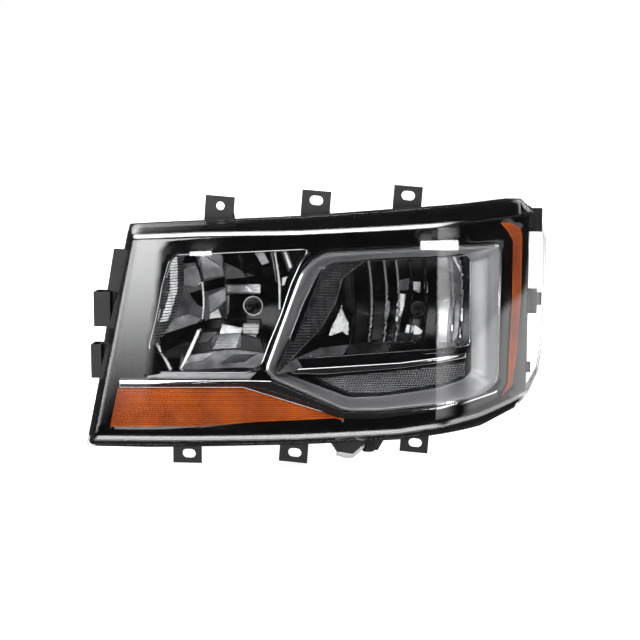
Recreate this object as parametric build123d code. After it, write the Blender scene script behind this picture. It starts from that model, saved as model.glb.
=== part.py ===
from build123d import *
import os
from math import hypot

# Truck headlamp unit. Sizes are in millimetres.
# +X points to the outboard end, which wraps round the cab corner, +Y to the back of the lamp, +Z up.
# Everything is drawn from a datum on the inboard end of the lens face.
# On writing, the nodes move so that the origin is the locating hole.

# ---- lens face, seen from above: a long shallow sweep with a tighter outboard corner ----
FACE_START_X = -300.0
FACE_SWEEP = 5200.0
FACE_RAKE = 0.02
CORNER_START_X = 150.0
CORNER_SWEEP = 211.0
LENS_WALL = 3.0
LENS_END_X = 276.0
LENS_SIDE_X = 302.0
RIM_DEPTH = 50.0
FACE_STATIONS = [-310, -220, -130, -40, 50, 120, 165, 200, 235, 262]

# ---- lens outline, seen from the front ----
# x, top crease height, top draft, bottom crease height, bottom draft
CREASES = [
    (-312, 119.0, 0.22, -146.5, 0.42),
    (-147, 124.5, 0.25, -146.0, 0.42),
    (-18, 126.0, 0.30, -143.9, 0.38),
    (110, 131.4, 0.37, -138.6, 0.39),
    (162, 134.2, 0.40, -131.3, 0.42),
    (213, 136.9, 0.42, -123.2, 0.46),
    (262, 139.4, 0.42, -110.3, 0.46),
    (312, 142.0, 0.42, -97.0, 0.46),
]
INNER_END_X = -252.0
INNER_END_LEAN = 0.2115
INNER_END_DRAFT = -0.334
RIM_OUTLINE = [
    (-302, -148), (-291, -166.5), (-219, -167), (-21, -163), (110, -158), (216, -146),
    (262, -130), (294, -80), (303.5, 0), (304, 84), (297, 122), (266, 156), (244, 158.3),
    (108, 150), (-20, 141), (-200, 133), (-241, 130.5),
]

# ---- housing ----
HOUSING_WALL = 3.0
SEAL_THICKNESS = 2.5
FLANGE_THICKNESS = 9.5
HOUSING_FRONT = [
    (-288, -156), (-20, -153), (110, -148), (232, -133), (275.6, -105),
    (275.6, 118), (244, 146), (-20, 131), (-232, 120),
]
HOUSING_BACK = [
    (-255, -120), (-20, -125), (110, -125), (225, -112), (262, -85),
    (262, 90), (225, 112), (-20, 104), (-215, 90),
]
HOUSING_FRONT_Y = 50.0
HOUSING_BACK_Y = 266.0
BACK_WALL_LOW_Y = 252.0
BACK_WALL_HIGH_Y = 200.0
TURN_SHELF_Z = -78.0
TURN_SHELF_END_X = -26.0
TURN_WALL_Y = 125.0
DAY_SHELF_Z = -62.0
DAY_SHELF_START_X = 28.0
DAY_WALL_Y = 150.0

# ---- optics: bulb axes run along Y ----
HIGH_AXIS = (-88.2, 15.4)
HIGH_FOCAL = 52.0
HIGH_VERTEX_Y = 115.0
LOW_AXIS = (129.6, 6.9)
LOW_FOCAL = 72.0
LOW_VERTEX_Y = 162.0
REFLECTOR_WALL = 3.0
BOWL_R = 190.0
BULB_HOLE_R = 13.0
COLLAR_R = 21.0
HIGH_FRONT = 49.0
LOW_FRONT = 60.0
HIGH_OPENING = [
    (-211, -59), (-211, -25), (-202, 8), (-193, 54), (-184, 84), (-176, 91.5), (-30, 98),
    (-8, 99), (-18, 82), (-30.5, 54), (-43, 15), (-59, -24), (-67, -47), (-76, -57), (-89, -59),
]
LOW_OPENING = [(-26, -58), (24, 75), (40, 79), (199, 84), (200, -44), (83, -51)]

# ---- front trim ----
FRAME_OUTER = [
    (-60, -50), (-29, 36), (-17, 68), (-6, 84), (15, 96.5), (85, 99.5), (161, 103.8),
    (236, 102), (240.8, 93), (238.6, -84), (215, -98.4), (163, -105), (86, -111.7),
    (41, -111.3), (-51.7, -68.8), (-60.5, -59),
]
FRAME_INNER = [
    (-45, -48), (-16, 27), (-3, 53), (8, 73), (25, 80.7), (83, 84.8), (191, 89.3),
    (200, 81), (202.5, -69), (194, -78), (162, -88), (84, -98), (43.5, -99), (-39.8, -66),
]
BEZEL_OUTLINE = [
    (-285, -148), (-16, -146), (112, -139.5), (160, -132.5), (213, -124), (255, -112),
    (270, -94), (270, 127), (261, 137), (213, 138), (110, 132), (-15, 125), (-230, 118.5),
]
AMBER_OUTLINE = [
    (-265, -133), (-147, -131.5), (-73, -125.5), (27, -121.5), (40, -123.3),
    (-18, -104.5), (-62.8, -90), (-91, -81), (-254, -82),
]
WAIST_STRIP = [
    (-252, -80.5), (-251.5, -70), (-88, -69.8), (-72, -70), (-54, -70.5), (41, -113),
    (86, -113.6), (163, -107), (238, -93), (238, -98), (163, -113.4), (85.7, -122.8),
    (42, -122.3), (-18, -103.3), (-62.8, -88.8), (-91, -79.8),
]
DAY_LENS = [
    (-4, -71), (12, -71), (112, -63), (196, -54.5), (196, -75.4), (162, -85),
    (83.6, -95.7), (47, -95.2), (18, -83),
]
DAY_STRIP = [(-38, -60), (112, -52), (196, -42), (196, -49), (112, -60), (12, -67), (-28, -66)]
SIDE_MARKER = [
    (238, 129), (250, 128), (265, 119), (268, 108), (268, 21), (264, -46), (258, -93),
    (243, -105), (252, -88), (253, -44), (255.7, 23), (255.5, 103), (248, 117),
]

# ---- aiming mechanism: every joint centre lies in one plane behind the reflectors ----
PIVOT_Y = 160.0
PIVOT_Z = 15.0
SIDE_SCREW_X = -190.0
LEVEL_ROD_Z = -65.0
TRUNNION_R = 3.0
ROD_R = 3.0
BALL_R = 6.0
CLEARANCE = 0.3
HIGH_PLATE_Y = 128.0
LOW_PLATE_Y = 170.0
PLATE_THICKNESS = 6.0

# ---- rear covers, bulbs and holders ----
CAP_HOLE_R = 44.0
CAP_COLLAR_R = 50.0
CAP_COLLAR_LENGTH = 14.0
CAP_GRIP_COUNT = 16
CAP_GRIP_R = 1.5
HOLDER_HOLE_R = 14.0
TURN_AXIS = (-110.0, -104.0)
DAY_AXIS = (104.0, -82.5)
BREATHERS = [(-165, BACK_WALL_HIGH_Y, 70), (200, BACK_WALL_LOW_Y, 78)]

# ---- mounting tabs: centre x, depth, centre height, lean ----
TAB_SIZE = (38.0, 4.0, 32.0)
TAB_ROOT = 38.0
TAB_STEP = 1.0
TAB_WEB_DEPTH = 34.0
TAB_WEB_THICKNESS = 3.0
TOP_TABS = [(-128.0, 84.0, 148.0, 4.5), (-3.5, 108.0, 154.0, 4.5), (115.5, 142.0, 158.5, 4.5)]
TOP_HOLES = [(-126.8, 151.2), (-3.0, 157.3), (116.2, 161.7)]
BOTTOM_TABS = [(-172.0, 71.0, -175.0, 0.0), (-32.0, 94.0, -176.5, 4.5), (127.5, 139.0, -170.0, 4.5)]
BOTTOM_HOLES = [(-169.8, -178.3), (-30.6, -179.6), (128.6, -172.9)]
LOCATOR_R = 5.75
SLOT_LENGTH = 18.0
SLOT_WIDTH = 12.5
ORIGIN = (TOP_HOLES[0][0], TOP_TABS[0][1] + TAB_SIZE[1] / 2, TOP_HOLES[0][1])


# ---- basic shapes ----

def face_y(x):
    """Depth of the lens face at x."""
    run = x - FACE_START_X
    corner = max(0.0, x - CORNER_START_X)
    return run**2 / FACE_SWEEP + FACE_RAKE * run + corner**2 / CORNER_SWEEP


def face_slope(x):
    run = x - FACE_START_X
    corner = max(0.0, x - CORNER_START_X)
    return 2 * run / FACE_SWEEP + FACE_RAKE + 2 * corner / CORNER_SWEEP


def polygon(points, y=0.0):
    """Flat face with an X-Z outline at depth y."""
    return Face(Wire.make_polygon([(x, y, z) for x, z in points]))


def prism(points, front=-60.0, back=340.0):
    return extrude(polygon(points, front), amount=back - front, dir=(0, 1, 0))


def prism_of(face, front=-60.0, back=340.0):
    return extrude(Pos(0, front, 0) * face, amount=back - front, dir=(0, 1, 0))


def grown(points, amount):
    """An X-Z outline moved outwards by amount, or inwards if it is negative."""
    flat = Face(Wire.make_polygon([(x, z, 0) for x, z in points]))
    moved = offset(flat, amount=amount, kind=Kind.INTERSECTION).face()
    return Plane(origin=(0, 0, 0), x_dir=(1, 0, 0), z_dir=(0, -1, 0)) * moved


def swept_sheet(front, back):
    """Slab between two depths behind the lens face, following its sweep."""
    stations = FACE_STATIONS + [LENS_END_X]
    near = [(x, face_y(x) + front, -180) for x in stations]
    far = [(x, face_y(x) + back, -180) for x in stations]
    edges = [Spline(*near), Line(near[-1], far[-1]), Spline(*far), Line(near[0], far[0])]
    return extrude(make_face(edges), amount=360, dir=(0, 0, 1))


def panel(points, front, back):
    return swept_sheet(front, back) & prism(points)


def rod(centre, radius, length):
    """Cylinder along Y that starts at centre and runs back."""
    x, y, z = centre
    return Plane(origin=(x, y + length / 2, z), z_dir=(0, 1, 0)) * Cylinder(radius, length)


def tube(centre, outer, inner, length):
    return rod(centre, outer, length) - rod(centre, inner, length)


def block(x0, x1, y0, y1, z0, z1):
    centre = ((x0 + x1) / 2, (y0 + y1) / 2, (z0 + z1) / 2)
    return Pos(*centre) * Box(x1 - x0, y1 - y0, z1 - z0)


def ball(centre, radius):
    return Pos(*centre) * Sphere(radius)


# ---- lens ----

def lens_plan(inset, rim, end_x):
    """Plan outline of the space behind the lens skin, as far as a depth rim behind the face."""
    skin = []
    for x in FACE_STATIONS + [285]:
        slope = face_slope(x)
        length = hypot(1, slope)
        skin.append((x - slope * inset / length, face_y(x) + inset / length, -200))
    skin.append((LENS_SIDE_X - 4.5 - 0.9 * inset, 187 + 0.4 * inset, -200))
    skin.append((LENS_SIDE_X - inset, 206, -200))
    skin.append((LENS_SIDE_X - 5 - 0.7 * inset, 219 - 0.7 * inset, -200))
    skin.append((LENS_SIDE_X - 16 - 0.2 * inset, 225 - inset, -200))
    skin.append((LENS_END_X, 226 - inset, -200))
    start_x = FACE_STATIONS[0]
    back = [(x, face_y(x) + rim, -200) for x in FACE_STATIONS if x < end_x - 10]
    back.append((end_x, face_y(end_x) + rim, -200))
    corner = (end_x, 226 - inset, -200)
    edges = [Spline(*skin), Spline(*back), Line(skin[0], (start_x, face_y(start_x) + rim, -200))]
    if end_x < LENS_END_X:
        edges.append(Line(skin[-1], corner))
    edges.append(Line(corner, back[-1]))
    return extrude(make_face(edges), amount=420, dir=(0, 0, 1))


def crease_wedge(inset):
    """Space between the drafted top and bottom walls of the lens."""
    front, back = -40.0, 320.0
    sections = []
    for x, top, top_draft, bottom, bottom_draft in CREASES:
        near, far = front - face_y(x), back - face_y(x)
        sections.append(Wire.make_polygon([
            (x, front, bottom + inset - bottom_draft * near),
            (x, back, bottom + inset - bottom_draft * far),
            (x, back, top - inset + top_draft * far),
            (x, front, top - inset + top_draft * near),
        ]))
    return Solid.make_loft(sections, ruled=True)


def inner_end_wedge(inset):
    """Everything outboard of the drafted inboard end wall."""
    reach, front, depth = 260.0, -40.0, 360.0
    edge = INNER_END_X + 1.05 * inset + INNER_END_DRAFT * front
    low = (edge - INNER_END_LEAN * reach, -reach)
    high = (edge + INNER_END_LEAN * reach, reach)
    half_space = polygon([low, high, (400, reach), (400, -reach)], front)
    return extrude(half_space, amount=depth * hypot(1, INNER_END_DRAFT), dir=(INNER_END_DRAFT, 1, 0))


def rim_prism(inset):
    return prism_of(grown(RIM_OUTLINE, -inset))


def lens_space(inset, rim, end_x=LENS_END_X):
    space = lens_plan(inset, rim, end_x) & rim_prism(inset)
    return space & crease_wedge(inset) & inner_end_wedge(inset)


def outer_lens():
    return lens_space(0, RIM_DEPTH) - lens_space(LENS_WALL, RIM_DEPTH + 30, LENS_END_X - 14)


# ---- housing ----

def housing_taper(inset):
    front = prism_outline(HOUSING_FRONT, -inset, HOUSING_FRONT_Y)
    back = prism_outline(HOUSING_BACK, -inset, HOUSING_BACK_Y)
    return Solid.make_loft([front, back], ruled=True)


def prism_outline(points, amount, y):
    return (Pos(0, y, 0) * grown(points, amount)).face().outer_wire()


def housing_plan(inset, front):
    """Plan outline of the housing between the lens rim and the stepped back wall."""
    near = [(x, face_y(x) + front, -200) for x in FACE_STATIONS if x < 250]
    near.append((LENS_END_X, face_y(LENS_END_X) + front, -200))
    start = near[0]
    back = [
        near[-1], (LENS_END_X, 232, -200), (262, BACK_WALL_LOW_Y - inset, -200),
        (60, BACK_WALL_LOW_Y - inset, -200), (42, BACK_WALL_HIGH_Y - inset, -200),
        (-205, BACK_WALL_HIGH_Y - 3 - inset, -200), (-262, 140 - inset, -200),
        (-310, 95 - inset, -200), start,
    ]
    return extrude(make_face([Spline(*near), Polyline(*back)]), amount=420, dir=(0, 0, 1))


def shelves(inset):
    """The two recesses under the back wall that bring the bulb holders forward."""
    turn = block(-320, TURN_SHELF_END_X + inset, TURN_WALL_Y - inset, 340, -200, TURN_SHELF_Z + inset)
    day = block(DAY_SHELF_START_X - inset, 300, DAY_WALL_Y - inset, 340, -200, DAY_SHELF_Z + inset)
    return turn + day


def housing_space(inset, front):
    return (housing_taper(inset) & housing_plan(inset, front)) - shelves(inset)


def housing_outer():
    return housing_space(0, RIM_DEPTH + SEAL_THICKNESS)


def flange():
    front = RIM_DEPTH + SEAL_THICKNESS
    sheet = swept_sheet(front, front + FLANGE_THICKNESS)
    return (sheet & rim_prism(0)) - prism_of(grown(HOUSING_FRONT, -6))


def cap_collar(axis, wall_y):
    x, z = axis
    return tube((x, wall_y - 2, z), CAP_COLLAR_R, CAP_HOLE_R, CAP_COLLAR_LENGTH + 2)


def pivot_arms():
    upper = block(-8, 8, PIVOT_Y - 10, BACK_WALL_HIGH_Y - 1, PIVOT_Z + 11.5, PIVOT_Z + 19)
    lower = block(-8, 8, PIVOT_Y - 10, BACK_WALL_HIGH_Y - 1, PIVOT_Z - 19, PIVOT_Z - 11.5)
    pin_hole = Pos(0, PIVOT_Y, PIVOT_Z) * Cylinder(TRUNNION_R, 60)
    return (upper + lower) - pin_hole


def housing():
    shell = housing_outer() - housing_space(HOUSING_WALL, 0)
    shell += flange()
    for axis, wall_y in ((HIGH_AXIS, BACK_WALL_HIGH_Y), (LOW_AXIS, BACK_WALL_LOW_Y)):
        shell -= rod((axis[0], wall_y - 12, axis[1]), CAP_HOLE_R, 40)
        shell += cap_collar(axis, wall_y)
    shell += pivot_arms()
    shell -= rod((TURN_AXIS[0], TURN_WALL_Y - 8, TURN_AXIS[1]), HOLDER_HOLE_R, 16)
    shell -= rod((DAY_AXIS[0], DAY_WALL_Y - 8, DAY_AXIS[1]), HOLDER_HOLE_R, 16)
    shell -= rod((0, BACK_WALL_HIGH_Y - 10, LEVEL_ROD_Z), ROD_R + 3, 20)
    shell -= rod((SIDE_SCREW_X, BACK_WALL_HIGH_Y - 20, PIVOT_Z), ROD_R + 3, 30)
    return shell


def lens_seal():
    sheet = swept_sheet(RIM_DEPTH, RIM_DEPTH + SEAL_THICKNESS)
    ring = (sheet & rim_prism(0.5)) - prism_of(grown(RIM_OUTLINE, -6.5))
    return ring & inner_end_wedge(0.5)


# ---- mounts on the housing ----

def slot_cutter(x, z, y, lean):
    slot = extrude(SlotOverall(SLOT_LENGTH, SLOT_WIDTH), 20, both=True)
    return Pos(x, y, z) * Rot(0, lean, 0) * Rot(90, 0, 0) * slot


def tab_plate(x, y, z, lean):
    """Upright plate with a gusset behind it, both rooted in the housing wall."""
    width, thickness, height = TAB_SIZE
    side = 1 if z > 0 else -1
    plate = Box(width, thickness, height)
    root = Box(width, thickness - TAB_STEP, TAB_ROOT + 2 * TAB_STEP)
    plate += Pos(0, TAB_STEP / 2, -side * (height + TAB_ROOT) / 2) * root
    plate = Pos(x, y + thickness / 2, z) * Rot(0, lean, 0) * plate
    edge_x = x + width / 2 - TAB_WEB_THICKNESS
    root_z = z - side * (height / 2 + TAB_ROOT)
    web = Face(Wire.make_polygon([
        (edge_x, y + thickness, z + side * height * 0.35),
        (edge_x, y + TAB_WEB_DEPTH, z - side * height / 2),
        (edge_x, y + TAB_WEB_DEPTH, root_z),
        (edge_x, y + thickness, root_z),
    ]))
    return plate + extrude(web, amount=TAB_WEB_THICKNESS, dir=(-1, 0, 0))


def locator_tab(keep_out):
    tab, hole = TOP_TABS[0], TOP_HOLES[0]
    cutter = rod((hole[0], tab[1] - 10, hole[1]), LOCATOR_R, 30)
    return tab_plate(*tab) - cutter - keep_out


def slotted_tabs(tabs, holes, keep_out):
    pieces = []
    for tab, hole in zip(tabs, holes):
        cutter = slot_cutter(hole[0], hole[1], tab[1], tab[3])
        pieces.append(tab_plate(*tab) - cutter - keep_out)
    return Compound(pieces)


def guide_sleeve(x0, x1, z0, z1):
    outer = block(x0, x1, 62, 88, z0, z1)
    inner = block(x0 + 2.5, x1 - 2.5, 64.5, 85.5, z0 - 1, z1 + 1)
    return outer - inner


def side_guide_bracket(keep_out):
    """Two open sleeves on a web beside the inboard end wall, where the bumper trim slides in."""
    web = prism([
        (-267, 94.5), (-277, 39), (-279, -8), (-283, -31), (-286, -76), (-270, -78),
        (-250, 15), (-238, 75), (-238, 93),
    ], 74, 79)
    upper = guide_sleeve(-293, -271, -7.5, 38.5)
    lower = guide_sleeve(-298, -284, -76.5, -31.5)
    return (web - block(-290.5, -273.5, 60, 90, -9, 40) + upper + lower) - keep_out


def outboard_clips(keep_out):
    """Snap tabs on the outboard end that hold the corner panel."""
    upper = block(270, 297, 236, 246, 106, 138) + block(262, 274, 201, 246, 112, 134)
    middle = block(240, 292, 236, 240, -8, 27) + block(290, 298, 236, 246, 4, 21)
    lower = block(255, 285, 236, 240, -91, -76) + block(255, 270, 236, 240, -91, -55)
    return Compound([piece - keep_out for piece in (upper, middle, lower)])


def lower_boss(keep_out):
    """Moulded boss under the housing with a flat-bottomed, splayed outline."""
    outline = [(14, -160), (25, -177.5), (47, -180.5), (64, -165), (64, -140), (14, -140)]
    return prism(outline, 98, 116) - keep_out


def lower_peg(keep_out):
    peg = Pos(66, 126, -162) * Cylinder(8, 40)
    web = prism([(66, -140), (66, -181), (79, -180.5), (88, -164), (88, -140)], 124, 128)
    return (peg + web) - keep_out


def vent_strap():
    """Clear moulded strap that hugs the underside of the boss."""
    outline = [
        (25, -177.8), (47, -180.9), (60, -168.8), (62.5, -171.5), (47.5, -186), (38, -187),
        (24.5, -183.5),
    ]
    return prism(outline, 100, 114)


# ---- front trim ----

def bezel():
    plate = panel(BEZEL_OUTLINE, 24, 27)
    plate -= prism(HIGH_OPENING)
    plate -= prism_of(grown(FRAME_OUTER, 0.3))
    plate -= prism_of(grown(AMBER_OUTLINE, -3))
    plate -= prism_of(grown(SIDE_MARKER, -3))
    return plate


def high_beam_surround():
    ring = swept_sheet(21, 24) & prism_of(grown(HIGH_OPENING, 2))
    return ring - prism(HIGH_OPENING)


def low_beam_frame():
    ring = panel(FRAME_OUTER, 12, 45)
    return ring - prism(FRAME_INNER)


def low_beam_shroud():
    plate = swept_sheet(45, 49) & prism_of(grown(FRAME_INNER, 4))
    plate -= prism(LOW_OPENING)
    return plate - prism_of(grown(DAY_LENS, -2))


def waist_strip():
    strip = panel(WAIST_STRIP, 18, 24)
    return strip - prism(FRAME_OUTER)


def turn_lens():
    return panel(AMBER_OUTLINE, 20, 24) - prism(WAIST_STRIP)


def turn_reflector():
    """Shallow amber-lamp bowl between the turn lens and the housing's recessed wall."""
    outer = swept_sheet(27, 110) & prism_of(grown(AMBER_OUTLINE, 1))
    outer &= block(-300, 60, 0, 88, -180, -70)
    inner = swept_sheet(26, 108) & prism_of(grown(AMBER_OUTLINE, -1.5))
    inner &= block(-300, 60, 0, 85.5, -180, -70)
    return outer - inner - rod((TURN_AXIS[0], 60, TURN_AXIS[1]), 14, 60)


def day_lens():
    return panel(DAY_LENS, 49, 52)


def day_reflector():
    outer = swept_sheet(52, 76) & prism_of(grown(DAY_LENS, 1.5))
    inner = swept_sheet(51, 73.5) & prism_of(grown(DAY_LENS, -0.5))
    return outer - inner - rod((DAY_AXIS[0], 100, DAY_AXIS[1]), 8.5, 60)


def day_strip():
    return panel(DAY_STRIP, 41, 45) & prism_of(grown(FRAME_INNER, -0.2))


def side_marker():
    return swept_sheet(21, 24) & prism(SIDE_MARKER)


# ---- reflectors ----

def bowl_front(axis, focal, vertex_y, shift):
    """Space in front of a paraboloid whose axis is along Y."""
    x, z = axis
    drop = BOWL_R**2 / (4 * focal)
    vertex = (0, vertex_y + shift)
    edge = (BOWL_R, vertex_y + shift - drop)
    profile = [
        Bezier(vertex, (BOWL_R / 2, vertex_y + shift), edge),
        Line(edge, (BOWL_R, -260)),
        Line((BOWL_R, -260), (0, -260)),
        Line((0, -260), vertex),
    ]
    return Pos(x, 0, z) * revolve(make_face(profile), axis=Axis.Y)


def reflector(axis, focal, vertex_y, opening, front):
    x, z = axis
    body = bowl_front(axis, focal, vertex_y, REFLECTOR_WALL) & prism_of(grown(opening, 5))
    body -= bowl_front(axis, focal, vertex_y, 0) & prism_of(grown(opening, 2))
    body &= swept_sheet(front, 260)
    body += tube((x, vertex_y + 1, z), COLLAR_R, BULB_HOLE_R, 7)
    body -= rod((x, vertex_y - 10, z), BULB_HOLE_R, 30)
    for side in (-1, 1):
        z0, z1 = sorted((z + side * 11, z + side * 14))
        ear = block(x - 28, x - 17, vertex_y + 4, vertex_y + 13.5, z0, z1)
        body += ear - rod((x, vertex_y, z), COLLAR_R - 1, 20)
    pin_hole = Pos(x - 24, vertex_y + 10.55, z) * Cylinder(1.2 + CLEARANCE, 40)
    body -= rod((x, vertex_y + 8, z), 19, 20)
    return body - pin_hole


def high_beam_reflector():
    return reflector(HIGH_AXIS, HIGH_FOCAL, HIGH_VERTEX_Y, HIGH_OPENING, HIGH_FRONT)


def low_beam_reflector():
    return reflector(LOW_AXIS, LOW_FOCAL, LOW_VERTEX_Y, LOW_OPENING, LOW_FRONT)


def socket(x, z):
    """Ball socket boss, open to the back, with a neck narrower than the ball."""
    boss = block(x - 10, x + 10, HIGH_PLATE_Y, PIVOT_Y + 4, z - 10, z + 10)
    boss -= ball((x, PIVOT_Y, z), BALL_R + CLEARANCE)
    return boss - rod((x, PIVOT_Y, z), BALL_R - 0.6, 20)


def reflector_carrier():
    """Folded plate that ties both reflectors to the pivot and takes both adjusters."""
    back = HIGH_PLATE_Y + PLATE_THICKNESS
    plate = block(-200, 20, HIGH_PLATE_Y, back, -40, 70)
    plate += block(-17, 20, HIGH_PLATE_Y, back, -75, -38)
    plate += block(14, 20, HIGH_PLATE_Y, LOW_PLATE_Y + PLATE_THICKNESS, -45, 60)
    plate += block(14, 220, LOW_PLATE_Y, LOW_PLATE_Y + PLATE_THICKNESS, -45, 60)
    plate += block(-17, -13, HIGH_PLATE_Y, PIVOT_Y + 8, PIVOT_Z - 10, PIVOT_Z + 10)
    plate += socket(SIDE_SCREW_X, PIVOT_Z)
    plate += socket(0, LEVEL_ROD_Z)
    trunnion_hole = Pos(0, PIVOT_Y, PIVOT_Z) * Rot(0, 90, 0) * Cylinder(TRUNNION_R + CLEARANCE, 60)
    plate -= trunnion_hole
    for axis, seat_y in ((HIGH_AXIS, HIGH_PLATE_Y), (LOW_AXIS, LOW_PLATE_Y)):
        x, z = axis
        plate -= rod((x, seat_y - 5, z), 33, 20)
        for dx, dz in ((-36, -30), (-36, 30), (36, -30), (36, 30)):
            plate += rod((x + dx, seat_y - 30, z + dz), 5, 31)
    plate -= bowl_front(HIGH_AXIS, HIGH_FOCAL, HIGH_VERTEX_Y, REFLECTOR_WALL)
    return plate - bowl_front(LOW_AXIS, LOW_FOCAL, LOW_VERTEX_Y, REFLECTOR_WALL)


# ---- aiming mechanism ----

def pivot_block():
    core = block(-10, 10, PIVOT_Y - 10, PIVOT_Y + 10, PIVOT_Z - 10, PIVOT_Z + 10)
    trunnion = Pos(1, PIVOT_Y, PIVOT_Z) * Rot(0, 90, 0) * Cylinder(TRUNNION_R, 38)
    body = core + trunnion
    for side in (-1, 1):
        body -= Pos(0, PIVOT_Y, PIVOT_Z + side * 7.5) * Cylinder(TRUNNION_R + CLEARANCE, 6)
    return body


def yaw_pins():
    """Two short steel pins that stand in the housing's arms and reach into the pivot block."""
    pins = []
    for side in (-1, 1):
        pins.append(Pos(0, PIVOT_Y, PIVOT_Z + side * 12.5) * Cylinder(TRUNNION_R, 13))
    return Compound(pins)


def ball_rod(x, z, end_y):
    return ball((x, PIVOT_Y, z), BALL_R) + rod((x, PIVOT_Y, z), ROD_R, end_y - PIVOT_Y)


def side_adjuster_body():
    """Bearing sleeve of the side-to-side screw, on the back wall."""
    x = SIDE_SCREW_X
    flange_plate = block(x - 15, x + 15, 197.7, 201.5, PIVOT_Z - 15, PIVOT_Z + 15)
    sleeve = rod((x, 186, PIVOT_Z), ROD_R + 2.7, 24)
    return (flange_plate + sleeve) - rod((x, 180, PIVOT_Z), ROD_R + CLEARANCE, 40)


def knob(x, y, z, radius, length):
    """Fluted hand wheel with a through hole for its rod."""
    wheel = rod((x, y, z), radius, length)
    flutes = PolarLocations(radius + 1, 8)
    for place in flutes:
        spot = place.position
        wheel -= rod((x + spot.X, y - 1, z + spot.Y), 2.4, length + 2)
    return wheel - rod((x, y - 1, z), ROD_R + CLEARANCE, length + 2)


def levelling_motor():
    z = LEVEL_ROD_Z
    case = block(-32, 32, 200.3, 238, z - 28, z + 28)
    case -= block(-33, 33, 226, 240, z - 29, z - 10)
    neck = rod((0, 196, z), ROD_R + 2.7, 8)
    stub = rod((0, 236, z), 12, 6)
    plug_shell = block(-24, 6, 226, 246, z - 27, z - 12) - block(-22, 4, 230, 250, z - 25, z - 14)
    return (case + neck + stub + plug_shell) - rod((0, 190, z), ROD_R + CLEARANCE, 70)


def motor_screws():
    screws = []
    for x, z in ((-27, LEVEL_ROD_Z + 23), (27, LEVEL_ROD_Z + 23)):
        screws.append(rod((x, 238, z), 4, 3))
    return Compound(screws)


# ---- bulbs ----

def bulb_glass(axis, vertex_y):
    x, z = axis
    tip_y = vertex_y - 30
    return rod((x, tip_y, z), 6, vertex_y + 4 - tip_y) + ball((x, tip_y, z), 6)


def bulb_base(axis, vertex_y):
    x, z = axis
    plate = rod((x, vertex_y + 8, z), 15, 1.5)
    cup = rod((x, vertex_y + 4, z), 9, 4)
    stem = rod((x, vertex_y + 9.5, z), 5.5, 5)
    blades = block(x - 4.5, x - 3.5, vertex_y + 14.5, vertex_y + 22, z - 3, z + 3)
    blades += block(x + 3.5, x + 4.5, vertex_y + 14.5, vertex_y + 22, z - 3, z + 3)
    return plate + cup + stem + blades


def bulb_plug(axis, vertex_y):
    x, z = axis
    body = block(x - 9, x + 9, vertex_y + 15, vertex_y + 32, z - 5.5, z + 5.5)
    for side in (-1, 1):
        edges = sorted((x + side * 3.4, x + side * 4.6))
        body -= block(edges[0], edges[1], vertex_y + 14, vertex_y + 23, z - 3.1, z + 3.1)
    return body


def bulb_clip(axis, vertex_y):
    """Flat wire spring that pins the bulb's base plate on its seat."""
    x, z = axis
    y0, y1 = vertex_y + 9.8, vertex_y + 11.3
    pin = Pos(x - 24, vertex_y + 10.55, z) * Cylinder(1.2, 27)
    clip = pin
    for side in (-1, 1):
        z0, z1 = sorted((z + side * 7.5, z + side * 9.5))
        clip += block(x - 24, x + 20, y0, y1, z0, z1)
    clip += block(x + 18, x + 20, y0, y1, z - 9.5, z + 9.5)
    return clip


def small_bulb(axis, base_y, radius, length):
    x, z = axis
    centre_y = base_y - length
    return ball((x, centre_y, z), radius) + rod((x, centre_y, z), radius * 0.55, length)


def twist_holder(axis, wall_y, reach):
    """Quarter-turn bulb holder: spigot, bayonet lugs inside the wall, flange and grip outside."""
    x, z = axis
    spigot = rod((x, wall_y - reach, z), HOLDER_HOLE_R - 1, reach + 3)
    flange_disc = rod((x, wall_y + 1.8, z), 19, 2.5)
    grip = block(x - 15, x + 15, wall_y + 4.3, wall_y + 14, z - 4, z + 4)
    connector = block(x - 8, x + 8, wall_y + 4.3, wall_y + 20, z - 7, z + 7)
    connector -= block(x - 6, x + 6, wall_y + 12, wall_y + 22, z - 5, z + 5)
    return spigot + flange_disc + grip + connector


def holder_seal(axis, wall_y):
    x, z = axis
    return tube((x, wall_y + CLEARANCE, z), 18, HOLDER_HOLE_R - 1, 1.5)


def dust_cap(axis, wall_y):
    """Bayonet cover over a bulb opening: skirt, rim, dished face and a grip bar."""
    x, z = axis
    end = wall_y + CAP_COLLAR_LENGTH
    skirt = tube((x, wall_y - 1, z), CAP_HOLE_R - 0.6, CAP_HOLE_R - 3.6, end - wall_y + 2)
    skirt -= tube((x, end - 8, z), CAP_HOLE_R, CAP_HOLE_R - 2, 3)
    face = rod((x, end + 0.5, z), CAP_COLLAR_R + 2, 3)
    lip = tube((x, end - 7, z), CAP_COLLAR_R + 2, CAP_COLLAR_R + 0.6, 8)
    grip = block(x - 34, x + 34, end + 3, end + 13, z - 5, z + 5)
    cap = skirt + face + lip + grip
    for place in PolarLocations(CAP_COLLAR_R + 2, CAP_GRIP_COUNT):
        spot = place.position
        cap += rod((x + spot.X, end - 7, z + spot.Y), CAP_GRIP_R, 10.5)
    return cap


def cap_seal(axis, wall_y):
    x, z = axis
    end = wall_y + CAP_COLLAR_LENGTH
    return tube((x, end - 7.8, z), CAP_HOLE_R - 0.3, CAP_HOLE_R - 2, 2.6)


# ---- electrics and vents ----

def connector_receptacle():
    """Rear socket for the vehicle plug, with a keyed shroud."""
    wall_y = BACK_WALL_LOW_Y
    base = block(203, 247, wall_y, wall_y + 4, -14, 46)
    shroud = block(209, 241, wall_y + 4, wall_y + 26, -8, 40)
    shroud -= block(211.5, 238.5, wall_y + 8, wall_y + 30, -5.5, 37.5)
    key = block(222, 228, wall_y + 6, wall_y + 20, 40, 43)
    return base + shroud + key


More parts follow.
